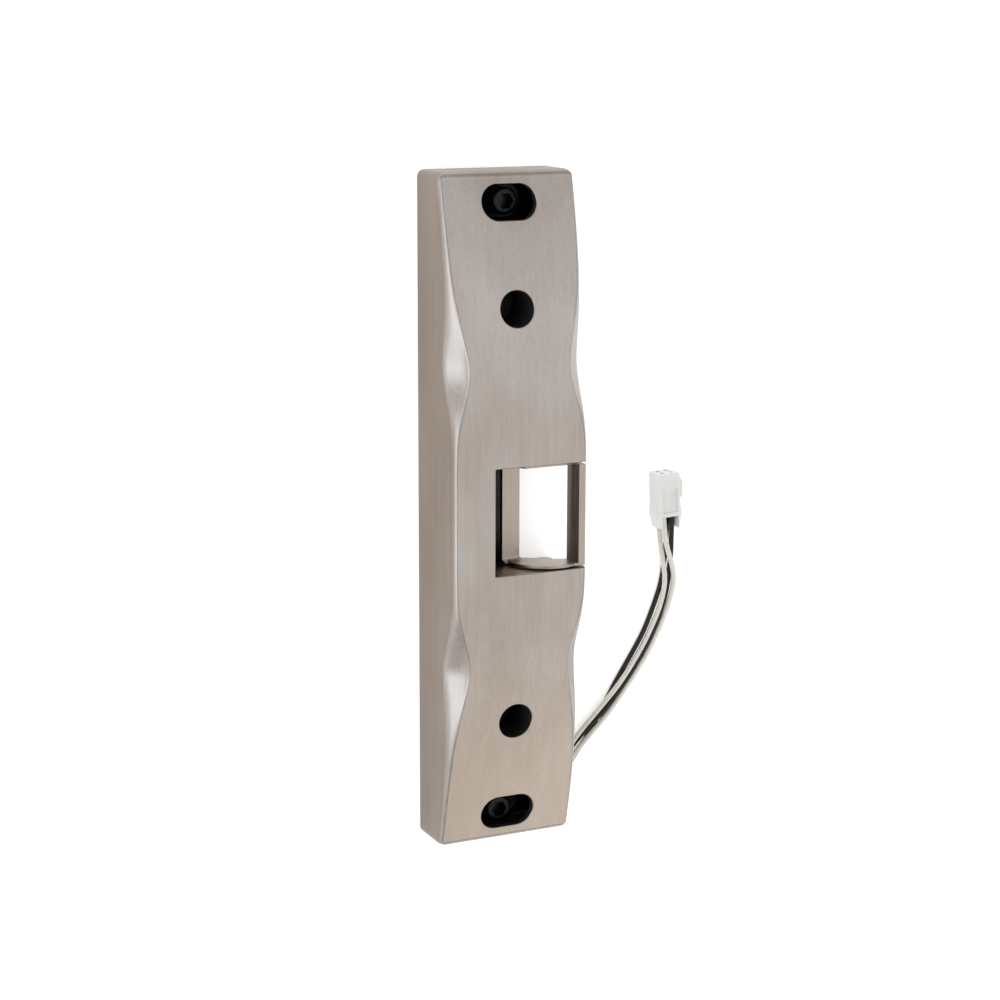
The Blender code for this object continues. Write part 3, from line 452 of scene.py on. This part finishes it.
def round_edges(obj, width, segments):
    """A small rounding on every sharp edge, with shading that stays flat on flat faces."""
    bevel = obj.modifiers.new("Bevel", "BEVEL")
    bevel.width = width * MM
    bevel.segments = segments
    bevel.limit_method = "ANGLE"
    bevel.angle_limit = math.radians(BEVEL_ANGLE)
    bevel.use_clamp_overlap = True
    bevel.harden_normals = True


def box(name, low, high, material):
    bm = bmesh.new()
    bmesh.ops.create_cube(bm, size=1)
    size = Vector(high) - Vector(low)
    centre = (Vector(high) + Vector(low)) / 2
    bm.transform(Matrix.Translation(centre) @ Matrix.Diagonal((*size, 1)))
    return add_object(name, bm, material)


def prism(name, outline, axis, start, end, material):
    """An outline pushed along an axis. Its two coordinates are the other two axes, in X, Y, Z order."""
    bm = bmesh.new()
    place = {
        "X": lambda a, b: (start, a, b),
        "Y": lambda a, b: (a, start, b),
        "Z": lambda a, b: (a, b, start),
    }[axis]
    face = bm.faces.new([bm.verts.new(place(a, b)) for a, b in outline])
    pushed = bmesh.ops.extrude_face_region(bm, geom=[face])
    moved = [v for v in pushed["geom"] if isinstance(v, bmesh.types.BMVert)]
    step = Vector([(end - start) * (letter == axis) for letter in "XYZ"])
    bmesh.ops.translate(bm, verts=moved, vec=step)
    return add_object(name, bm, material)


def skin_rings(bm, rings, closed=False):
    """Faces between rings of points, with a face over each end unless the last ring is the first."""
    for one, two in zip(rings, rings[1:]):
        for i in range(len(one)):
            j = (i + 1) % len(one)
            bm.faces.new((one[i], one[j], two[j], two[i]))
    if not closed:
        bm.faces.new(rings[0])
        bm.faces.new(rings[-1])


def turned(name, profile, centre, axis, material, sides=64):
    """A turned piece. The profile lists (radius, place along the axis); a closed one makes a ring."""
    bm = bmesh.new()
    closed = profile[0] == profile[-1]
    rings = []
    for radius, along in profile[:-1] if closed else profile:
        ring = []
        for i in range(sides):
            angle = 2 * math.pi * i / sides
            a = centre[0] + radius * math.cos(angle)
            b = centre[1] + radius * math.sin(angle)
            point = {"X": (along, a, b), "Y": (a, along, b), "Z": (a, b, along)}[axis]
            ring.append(bm.verts.new(point))
        rings.append(ring)
    if closed:
        rings.append(rings[0])
    skin_rings(bm, rings, closed)
    return add_object(name, bm, material)


def rounded_outline(low, high, radius, steps=10):
    """A rectangle with arcs for corners, from its low and high corners."""
    points = []
    corners = [(high[0], high[1]), (low[0], high[1]), (low[0], low[1]), (high[0], low[1])]
    for quarter, (x, y) in enumerate(corners):
        cx = x - radius if x == high[0] else x + radius
        cy = y - radius if y == high[1] else y + radius
        for i in range(steps + 1):
            angle = math.pi / 2 * (quarter + i / steps)
            points.append((cx + radius * math.cos(angle), cy + radius * math.sin(angle)))
    return points


def stadium(x, y, half_straight, radius, steps=24):
    """A slot's outline: two half circles, half_straight to each side of the middle."""
    points = []
    for side in (1, -1):
        for i in range(steps + 1):
            angle = math.pi * (i / steps - 0.5) + (math.pi if side < 0 else 0)
            points.append((x + side * half_straight + radius * math.cos(angle), y + radius * math.sin(angle)))
    return points


# ---------------------------------------------------------------- cable and plug

def spline_at(points, t):
    """The place at t, from 0 to 1, on a Catmull-Rom curve through the points."""
    spans = len(points) - 1
    i = min(int(t * spans), spans - 1)
    u = t * spans - i
    a, b, c, d = (Vector(points[min(max(k, 0), spans)]) for k in range(i - 1, i + 3))
    cubic = (3 * b - a - 3 * c + d) * u**3
    return 0.5 * (2 * b + (c - a) * u + (2 * a - 5 * b + 4 * c - d) * u**2 + cubic)


def smooth_route(points, count):
    """count places, evenly spaced along the curve through the points."""
    steps = 20 * (len(points) - 1)
    fine = [spline_at(points, k / steps) for k in range(steps + 1)]
    lengths = [0.0]
    for one, two in zip(fine, fine[1:]):
        lengths.append(lengths[-1] + (two - one).length)
    even = []
    k = 0
    for i in range(count):
        target = lengths[-1] * i / (count - 1)
        while k < len(fine) - 2 and lengths[k + 1] < target:
            k += 1
        share = (target - lengths[k]) / (lengths[k + 1] - lengths[k])
        even.append(fine[k].lerp(fine[k + 1], share))
    return even


def wire_points(number):
    """A wire's centreline, from the grommet to its hole in the plug."""
    route = smooth_route(CABLE_ROUTE, WIRE_POINTS)
    last = len(route) - 1
    points = []
    for i, place in enumerate(route):
        along = (route[min(i + 1, last)] - route[max(i - 1, 0)]).normalized()
        right, height = spline_at(WIRE_LANES[number], i / last)
        points.append((place.x + along.y * right, place.y - along.x * right, max(height, WIRE_REST)))
    return points


def tube_along(name, points, diameter, material):
    """A round wire through the points, with closed ends."""
    curve = bpy.data.curves.new(name, "CURVE")
    curve.dimensions = "3D"
    curve.bevel_depth = diameter / 2 * MM
    curve.bevel_resolution = 4
    curve.use_fill_caps = True
    spline = curve.splines.new("POLY")
    spline.points.add(len(points) - 1)
    for point, place in zip(spline.points, points):
        point.co = (*(Vector(place) * MM), 1)
    spline.use_smooth = True
    curve.materials.append(material)
    obj = bpy.data.objects.new(name, curve)
    bpy.context.scene.collection.objects.link(obj)
    return obj


def build_wires(materials):
    for number, colour in WIRE_COLOURS.items():
        points = [Vector(point) for point in wire_points(number)]
        piece = tube_along(f"lead_wire_{number}", points, WIRE_DIAMETER, materials[colour])
        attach(piece, "base")
        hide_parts(f"wire_{number}")


def plug_place():
    """The plug's matrix: its wire end at the cable's end, its length in line with the cable."""
    end = Vector((*CABLE_ROUTE[-1], 0))
    along = (end - Vector((*CABLE_ROUTE[-2], 0))).normalized()
    turn = Vector((0, 1, 0)).rotation_difference(along).to_matrix().to_4x4()
    return Matrix.Translation(end) @ turn


def place_mesh(obj, matrix):
    move = matrix.copy()
    move.translation *= MM
    obj.data.transform(move)
    return obj


def build_plug(materials):
    white = materials["white_nylon"]
    place = plug_place()
    half = PLUG_WIDTH / 2
    wide = half + PLUG_COLLAR
    rear = PLUG_REAR
    front = rear + PLUG_LENGTH
    right = [
        (half - 0.8, rear),
        (wide, rear + 4.5),
        (wide, rear + 7.5),
        (half, rear + 8),
        (half, front - 0.5),
    ]
    outline = right + [(half - 0.5, front), (-half + 0.5, front)] + [(-x, y) for x, y in reversed(right)]
    plug = place_mesh(prism("plug_shell", outline, "Z", 0.05, PLUG_HEIGHT, white), place)
    latch = [
        (half - 0.5, front - 0.6),
        (half + 1.6, front - 2.6),
        (half + 2.4, front - 3.9),
        (half + 2.2, front - 9.5),
        (half + 1.0, front - 9.9),
        (half + 0.9, front - 5.4),
        (half - 0.5, front - 4.0),
    ]
    boolean(plug, place_mesh(prism("latch", latch, "Z", 2.4, PLUG_HEIGHT - 2.4, white), place), "UNION")
    notch_end = rear + NOTCH_LENGTH
    cuts = [
        ((-NOTCH_HALF_WIDTH, rear - 1, NOTCH_FLOOR), (NOTCH_HALF_WIDTH, notch_end, 12)),
        ((-RECESS_HALF_WIDTH, rear + 5.9, PLUG_HEIGHT - RECESS_DEPTH), (RECESS_HALF_WIDTH, rear + 14.3, 12)),
    ]
    for number in WIRE_COLOURS:
        x, z = WIRE_LANES[number][-1]
        side = CAVITY_SIZE / 2
        cuts.append(((x - side, notch_end - 1, z - side), (x + side, front - PIN_ENTRY_WALL, z + side)))
        side = PIN_ENTRY / 2
        cuts.append(((x - side, front - 3, z - side), (x + side, front + 1, z + side)))
    for low, high in cuts:
        boolean(plug, place_mesh(box("cutter", low, high, white), place))
    round_edges(plug, 0.25, 3)
    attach(plug, "base")
    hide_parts("plug_housing")
    return plug


# ---------------------------------------------------------------- housing

def front_depth(y):
    """How far the face stands out at y: flat in the middle, and bowed back to both ends."""
    past = max(0.0, abs(y) - FLAT_HALF_LENGTH) / (HALF_LENGTH - FLAT_HALF_LENGTH)
    return DEPTH_MIDDLE - DEPTH_DROP * past**BOW_POWER


def scallop(y):
    """How deep the scallop in the housing's edge is at y, from 0 to 1."""
    past = abs(y) - SCALLOP_CENTRE
    if past > 0:
        return math.exp(-((past / SCALLOP_OUTER_WIDTH) ** SCALLOP_OUTER_POWER))
    return math.exp(-((-past / SCALLOP_INNER_WIDTH) ** SCALLOP_INNER_POWER))


def edge_curve(inset, drop, hollow, steps):
    """The edge from the side wall to the face: a plain rounding at hollow 0, a scoop at hollow 1."""
    p0 = Vector((0, drop))
    p1 = Vector((0, (0.45 + 0.27 * hollow) * drop))
    p2 = Vector(((0.45 + 0.3 * hollow) * inset, 0.4 * hollow * drop))
    p3 = Vector((inset, 0))
    points = []
    for i in range(steps + 1):
        t = i / steps
        s = 1 - t
        points.append(s**3 * p0 + 3 * s * s * t * p1 + 3 * s * t * t * p2 + t**3 * p3)
    last = points.pop()
    before = points[-1].lerp(last, 0.35)
    after = last + Vector((0.3, 0))
    for i in range(4):
        t = i / 3
        points.append(before.lerp(last, t).lerp(last.lerp(after, t), t))
    return points


def outer_section(y, shrink, steps):
    """Half of the housing's outline across X and Z at y, from the back's outer edge to the face's edge."""
    depth = front_depth(y) - shrink
    inset = EDGE_INSET + SCALLOP_INSET * scallop(y)
    drop = EDGE_DROP + SCALLOP_DROP * scallop(y)
    half = [(HALF_WIDTH - shrink, 0.0)]
    half += [(HALF_WIDTH - shrink - p.x, depth - p.y) for p in edge_curve(inset, drop, scallop(y), steps)]
    edge = half[-1][0]
    return half + [(edge * (1 - i / FACE_COLUMNS), depth) for i in range(1, FACE_COLUMNS)]


def loft(name, rows, material):
    """A closed body through outlines (y, half outline), each mirrored in X and closed along its back."""
    bm = bmesh.new()
    rings = []
    for y, half in rows:
        outline = list(half) + [(-x, z) for x, z in reversed(half)]
        rings.append([bm.verts.new((x, y, z)) for x, z in outline])
    skin_rings(bm, rings)
    return add_object(name, bm, material)


def station_rows(spacing, steps):
    """The housing's outer outlines from end to end, with its end corners rounded."""
    rows = []
    straight = HALF_LENGTH - CORNER_RADIUS
    count = int(straight / spacing)
    for i in range(-count, count + 1):
        y = straight * i / count
        rows.append((y, outer_section(y, 0, steps)))
    turns = 7
    for i in range(1, turns + 1):
        angle = math.pi / 2 * i / turns
        y = straight + CORNER_RADIUS * math.sin(angle)
        shrink = CORNER_RADIUS * (1 - math.cos(angle))
        half = outer_section(straight, shrink, steps)
        rows.append((y, half))
        rows.insert(0, (-y, half))
    return rows


def cavity_rows(spacing):
    """The outlines of the hollow inside the housing, open at the back."""
    rows = []
    end = HALF_LENGTH - WALL
    side = HALF_WIDTH - WALL
    count = int(end / spacing)
    for i in range(-count, count + 1):
        y = end * i / count
        depth = front_depth(y) - FRONT_WALL
        inset = CAVITY_INSET * scallop(y)
        drop = CAVITY_DROP * scallop(y)
        rows.append((y, [(side, -1.0), (side, depth - drop - 0.8), (side - inset - 0.8, depth)]))
    return rows


def rim_cutter(name, outline, bottom, steel, dark):
    """A cutter whose mouth is rounded where it meets the bowed face. outline(grown) gives its points."""
    bm = bmesh.new()
    steps = 4
    levels = [(0.0, None)]
    for i in range(steps + 1):
        angle = math.radians(78) * i / steps
        levels.append((RIM * (1 - math.cos(angle)), RIM * (1 - math.sin(angle))))
    levels.append((RIM * 1.6, -RIM * 0.35))
    rings = []
    for grown, below in levels:
        points = outline(grown)
        if below is None:
            rings.append([bm.verts.new((x, y, bottom)) for x, y in points])
        else:
            rings.append([bm.verts.new((x, y, front_depth(y) - below)) for x, y in points])
    skin_rings(bm, rings)
    # Faces below the rounded mouth take dark (near-black painted shade for holes and slots); the mouth takes
    # steel.
    obj = add_object(name, bm, dark)
    obj.data.materials.append(steel)
    for polygon in obj.data.polygons:
        middle = polygon.center / MM
        if middle.z > front_depth(middle.y) - RIM * 0.98:
            polygon.material_index = 1
    return obj


def face_normals(mesh):
    """Shades the bowed face by its true slope, so that cuts in it don't disturb the shading round them."""
    normals = [Vector((0, 0, 0))] * len(mesh.loops)
    for polygon in mesh.polygons:
        points = [mesh.vertices[v].co / MM for v in polygon.vertices]
        if all(abs(p.z - front_depth(p.y)) < 0.01 for p in points):
            for loop, point in zip(polygon.loop_indices, points):
                slope = (front_depth(point.y + 0.1) - front_depth(point.y - 0.1)) / 0.2
                normals[loop] = Vector((0, -slope, 1)).normalized()
    mesh.normals_split_custom_set(normals)


def build_housing(materials):
    steel = materials["brushed_steel"]
    # The hollow, the bosses and the walls down the holes and slots take the near-black painted shade.
    dark = materials["painted_shade_inside"]
    housing = loft("housing_shell", station_rows(1.2, 12), steel)
    boolean(housing, loft("cavity", cavity_rows(3.0), dark))
    for side in (1, -1):
        y = side * HOLE_Y
        top = front_depth(y) - FRONT_WALL / 2
        boss = turned("boss", [(BOSS_RADIUS, BOSS_BOTTOM), (BOSS_RADIUS, top)], (0, y), "Z", dark)
        boolean(housing, boss, "UNION")

        def circle(grown, centre=y):
            angles = [2 * math.pi * i / 72 for i in range(72)]
            radius = HOLE_RADIUS + grown
            return [(radius * math.cos(a), centre + radius * math.sin(a)) for a in angles]

        def slot(grown, centre=side * SLOT_Y):
            low = (-SLOT_LENGTH / 2 - grown, centre - SLOT_WIDTH / 2 - grown)
            high = (SLOT_LENGTH / 2 + grown, centre + SLOT_WIDTH / 2 + grown)
            return rounded_outline(low, high, SLOT_WIDTH / 2 - 0.001 + grown, 14)

        boolean(housing, rim_cutter("hole", circle, BOSS_SHOULDER, steel, dark))
        screw_hole = [(SCREW_HOLE_RADIUS, BOSS_BOTTOM - 2), (SCREW_HOLE_RADIUS, BOSS_SHOULDER + 1)]
        boolean(housing, turned("screw_hole", screw_hole, (0, y), "Z", dark, 32))
        boolean(housing, rim_cutter("slot", slot, SLOT_BOTTOM, steel, dark))

    def pocket(grown):
        low = (POCKET_LEFT - grown, -POCKET_HALF_LENGTH - grown)
        high = (HALF_WIDTH + 5, POCKET_HALF_LENGTH + grown)
        return rounded_outline(low, high, 0.3 + grown, 3)

    cutter = rim_cutter("pocket", pocket, -1.0, steel, steel)
    boolean(housing, cutter)
    low = (HALF_WIDTH - WALL - 1, GROMMET_Y - WIRE_NOTCH, -1)
    high = (HALF_WIDTH + 1, GROMMET_Y + WIRE_NOTCH, GROMMET_Z + WIRE_NOTCH)
    boolean(housing, box("wire_notch", low, high, steel))
    low = (HALF_WIDTH - WALL - 1, -SIDE_RELIEF_HALF_LENGTH, -1)
    high = (HALF_WIDTH + 1, SIDE_RELIEF_HALF_LENGTH, SIDE_RELIEF_TOP)
    boolean(housing, box("side_relief", low, high, steel))
    face_normals(housing.data)
    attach(housing, "base")
    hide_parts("housing")


# ---------------------------------------------------------------- keeper

def keeper_outline():
    """The end wall's outline across X and Z: a round front, the lip at the right and a flat back."""
    points = [(KEEPER_LEFT, KEEPER_BACK), (KEEPER_LEFT, KEEPER_WEB_FRONT)]
    centre_x, centre_z = KEEPER_ARC_CENTRE
    end = math.acos((KEEPER_ARC_RIGHT - centre_x) / KEEPER_ARC_RADIUS)
    steps = 48
    for i in range(steps + 1):
        angle = math.pi + (end - math.pi) * i / steps
        x = centre_x + KEEPER_ARC_RADIUS * math.cos(angle)
        points.append((x, centre_z + KEEPER_ARC_RADIUS * math.sin(angle)))
    return points + [(LIP_INNER, LIP_FRONT), (KEEPER_RIGHT, LIP_FRONT), (KEEPER_RIGHT, KEEPER_BACK)]


def build_keeper(materials):
    """The keeper, with a fillet where its strip turns up into its end walls."""
    steel = materials["keeper_steel"]
    keeper = prism("strike_keeper", keeper_outline(), "Y", KEEPER_BOTTOM, KEEPER_TOP, steel)
    inner_top, inner_bottom = KEEPER_TOP - KEEPER_END_WALL, KEEPER_BOTTOM + KEEPER_END_WALL
    pocket = [
        (KEEPER_LEFT - 1, KEEPER_WEB_FRONT),
        (FLANGE_INNER - 1.2, KEEPER_WEB_FRONT),
        (FLANGE_INNER, KEEPER_WEB_FRONT + 1.2),
        (FLANGE_INNER, LIP_FRONT - 4),
        (LIP_INNER, LIP_FRONT - 1),
        (LIP_INNER, 35),
        (KEEPER_LEFT - 1, 35),
    ]
    cutter = prism("pocket", pocket, "Y", inner_bottom, inner_top, steel)
    low, high = (inner_bottom, KEEPER_WEB_FRONT), (inner_top, 50)
    filleted = rounded_outline(low, high, KEEPER_FILLET, 6)
    boolean(cutter, prism("filleted", filleted, "X", KEEPER_LEFT - 3, 40, steel), "INTERSECT")
    boolean(keeper, cutter)
    low = (WINDOW_LEFT, inner_bottom + WINDOW_END_GAP)
    high = (40, inner_top - WINDOW_END_GAP)
    window = rounded_outline(low, high, WINDOW_CORNER)
    boolean(keeper, prism("window", window, "Z", 5, WINDOW_TOP, steel))
    boolean(keeper, prism("end_relief", END_RELIEF, "Y", -30, 30, steel))
    low = (KEEPER_LEFT - 1, inner_top - 0.1, UPPER_WALL_FRONT)
    boolean(keeper, box("upper_wall", low, (LIP_INNER, 30, 40), steel))
    for y, inward in ((KEEPER_TOP, -1), (KEEPER_BOTTOM, 1)):
        start = (KEEPER_LEFT, y + KEEPER_CORNER * inward)
        corner = [start, (KEEPER_LEFT + KEEPER_CORNER, y), (KEEPER_LEFT - 2, y - inward)]
        boolean(keeper, prism("corner", corner, "Z", 5, KEEPER_WEB_FRONT + 0.2, steel))
    for start, end in ((inner_top + 0.1, UPPER_STUB_END), (-LOWER_STUB_END, inner_bottom - 0.1)):
        stub = turned("stub", [(STUB_RADIUS, start), (STUB_RADIUS, end)], PIVOT, "Y", steel, 48)
        boolean(keeper, stub, "UNION")
    round_edges(keeper, 0.12, 2)
    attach(keeper, "keeper")
    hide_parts("keeper")


# ---------------------------------------------------------------- screws and cups

def build_cups(materials):
    """The trays round the mounting screws: a rim and floor of black oxide, painted shade for the dark down in
    the slot, and a bright zinc inner wall.
    """
    for word, side in (("upper", 1), ("lower", -1)):
        low, high = (Vector(corner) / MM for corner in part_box(f"mounting_cup_{word}"))
        tray = (0, side * SLOT_Y, CUP_HALF_STRAIGHT)
        hole = (*MOUNT_PLACES[word], 0.02)
        levels = [
            (tray, CUP_RADIUS, low.z, 0),
            (tray, CUP_RADIUS, high.z - 0.2, 0),
            (tray, CUP_RADIUS - 0.2, high.z, 0),
            (tray, CUP_BORE + 0.15, high.z, 0),
            (tray, CUP_BORE, high.z - 0.15, 1),
            (tray, CUP_BORE, CUP_FLOOR + 0.5, 1),
            (tray, CUP_BORE - 0.15, CUP_FLOOR + 0.15, 0),
            (tray, CUP_BORE - 0.5, CUP_FLOOR, 0),
            (hole, CUP_SCREW_HOLE, CUP_FLOOR, 0),
            (hole, CUP_SCREW_HOLE, low.z, 0),
        ]
        bm = bmesh.new()
        rings = [
            [bm.verts.new((x, y, z)) for x, y in stadium(*shape, radius)]
            for shape, radius, z, _ in levels
        ]
        for k, ring in enumerate(rings):
            after = rings[(k + 1) % len(rings)]
            for i in range(len(ring)):
                j = (i + 1) % len(ring)
                bm.faces.new((ring[i], ring[j], after[j], after[i])).material_index = levels[k][3]
        # Rim and floor in black oxide: painted shade round the bright wall.
        cup = add_object(f"screw_cup_{word}", bm, materials["black_oxide"])
        cup.data.materials.append(materials["zinc_steel"])
        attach(cup, "base")
        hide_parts(f"mounting_cup_{word}")


def hex_outline(across, centre):
    radius = across / 2 / math.cos(math.pi / 6)
    angles = [math.pi / 3 * i for i in range(6)]
    return [(centre[0] + radius * math.cos(a), centre[1] + radius * math.sin(a)) for a in angles]


def socket_screw(name, node, sizes, materials):
    """A socket head cap screw in the place of a CAD node, with a knurled head and a rounded crown."""
    across, shank, head_height = sizes
    low, high = (Vector(corner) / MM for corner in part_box(node))
    centre = ((low.x + high.x) / 2, (low.y + high.y) / 2)
    radius = (high.x - low.x) / 2
    under = high.z - head_height
    profile = [
        (shank, low.z),
        (shank, under),
        (radius, under),
        (radius, high.z - 0.8),
        (radius - 0.1, high.z - 0.45),
        (radius - 0.35, high.z - 0.15),
        (radius - 0.7, high.z),
    ]
    black = materials["black_oxide"]
    screw = turned(name, profile, centre, "Z", black, KNURL_SIDES)
    for vertex in screw.data.vertices:
        place = vertex.co / MM
        offset = Vector((place.x - centre[0], place.y - centre[1]))
        if abs(offset.length - radius) < 0.02:
            index = round(math.atan2(offset.y, offset.x) / (2 * math.pi) * KNURL_SIDES)
            if index % 2:
                offset *= 1 - KNURL_DEPTH / radius
                vertex.co.x = (centre[0] + offset.x) * MM
                vertex.co.y = (centre[1] + offset.y) * MM
    depth = (high.z - under) * 0.6
    socket = prism("socket", hex_outline(across, centre), "Z", high.z - depth, high.z + 2, black)
    boolean(screw, socket)
    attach(screw, "base")
    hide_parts(node)


# ---------------------------------------------------------------- carried-over CAD pieces

def dress_nodes(materials):
    """Gives each CAD node that still shows its material."""
    looks = {
        "black_oxide": ["back_plate"],
        "frame_steel": ["keeper_frame"],
        "bronze": ["pivot_bushing_upper", "pivot_bushing_lower"],
        "bobbin_nylon": ["solenoid_bobbin"],
        "coil_tape": ["solenoid_coil"],
        "black_rubber": ["wire_grommet"],
        "tinned_contact": [f"plug_terminal_{number}" for number in WIRE_COLOURS],
        "spring_steel": [
            "retaining_ring_upper", "retaining_ring_lower", "keeper_return_spring",
            "plunger_pin", "plunger_return_spring",
        ],
        "zinc_steel": [
            "lock_cam", "lock_lever", "lever_pivot_post", "solenoid_frame", "solenoid_core",
            "solenoid_plunger", "solenoid_screw", "frame_screw_upper", "frame_screw_lower",
        ],
    }
    for look, nodes in looks.items():
        for node in nodes:
            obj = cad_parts[node]
            obj.data.materials.clear()
            obj.data.materials.append(materials[look])


# ---------------------------------------------------------------- stage

def add_floor():
    bm = bmesh.new()
    bmesh.ops.create_grid(bm, x_segments=1, y_segments=1, size=2.0)
    nodes = Nodes("floor")
    nodes.set(Base_Color=(0.9, 0.9, 0.9, 1), Roughness=0.9)
    nodes.set(Emission_Color=(1, 1, 1, 1), Emission_Strength=0.55)
    floor = add_object("floor", bm, nodes.material, 1.0)


def add_area_light(name, place, aim, size, power, colour=(1, 1, 1)):
    data = bpy.data.lights.new(name, "AREA")
    data.shape = "RECTANGLE"
    data.size, data.size_y = size
    data.energy = power
    data.color = colour
    light = bpy.data.objects.new(name, data)
    light.location = place
    light.rotation_euler = (Vector(aim) - Vector(place)).to_track_quat("-Z", "Y").to_euler()
    bpy.context.scene.collection.objects.link(light)


def add_lights():
    world = bpy.data.worlds.new("world")
    bpy.context.scene.world = world
    world.use_nodes = True
    background = world.node_tree.nodes["Background"]
    background.inputs["Color"].default_value = (1, 0.975, 0.945, 1)
    background.inputs["Strength"].default_value = 0.6
    add_area_light("window", (-1.0, -0.1, 0.55), (0, 0, 0.03), (0.9, 0.9), 5.0, (0.84, 0.92, 1.0))
    add_area_light("overhead", (0.55, 0.0, 1.1), (0, 0, 0), (1.3, 1.3), 3.2)
    add_area_light("warm", (0.48, -0.82, 0.74), (0, -0.08, 0), (0.5, 0.5), 0.9, (1.0, 0.84, 0.66))
    bpy.context.scene.view_settings.view_transform = "Standard"


def main():
    add_camera()
    materials = make_materials()
    plug = build_plug(materials)
    build_wires(materials)
    build_housing(materials)
    build_keeper(materials)
    build_cups(materials)
    for word in MOUNT_PLACES:
        socket_screw(f"socket_screw_{word}", f"mounting_screw_{word}", MOUNTING_SCREW, materials)
    socket_screw("deep_screw_lower", "cover_screw_lower", COVER_SCREW, materials)
    dress_nodes(materials)
    add_floor()
    add_lights()


main()
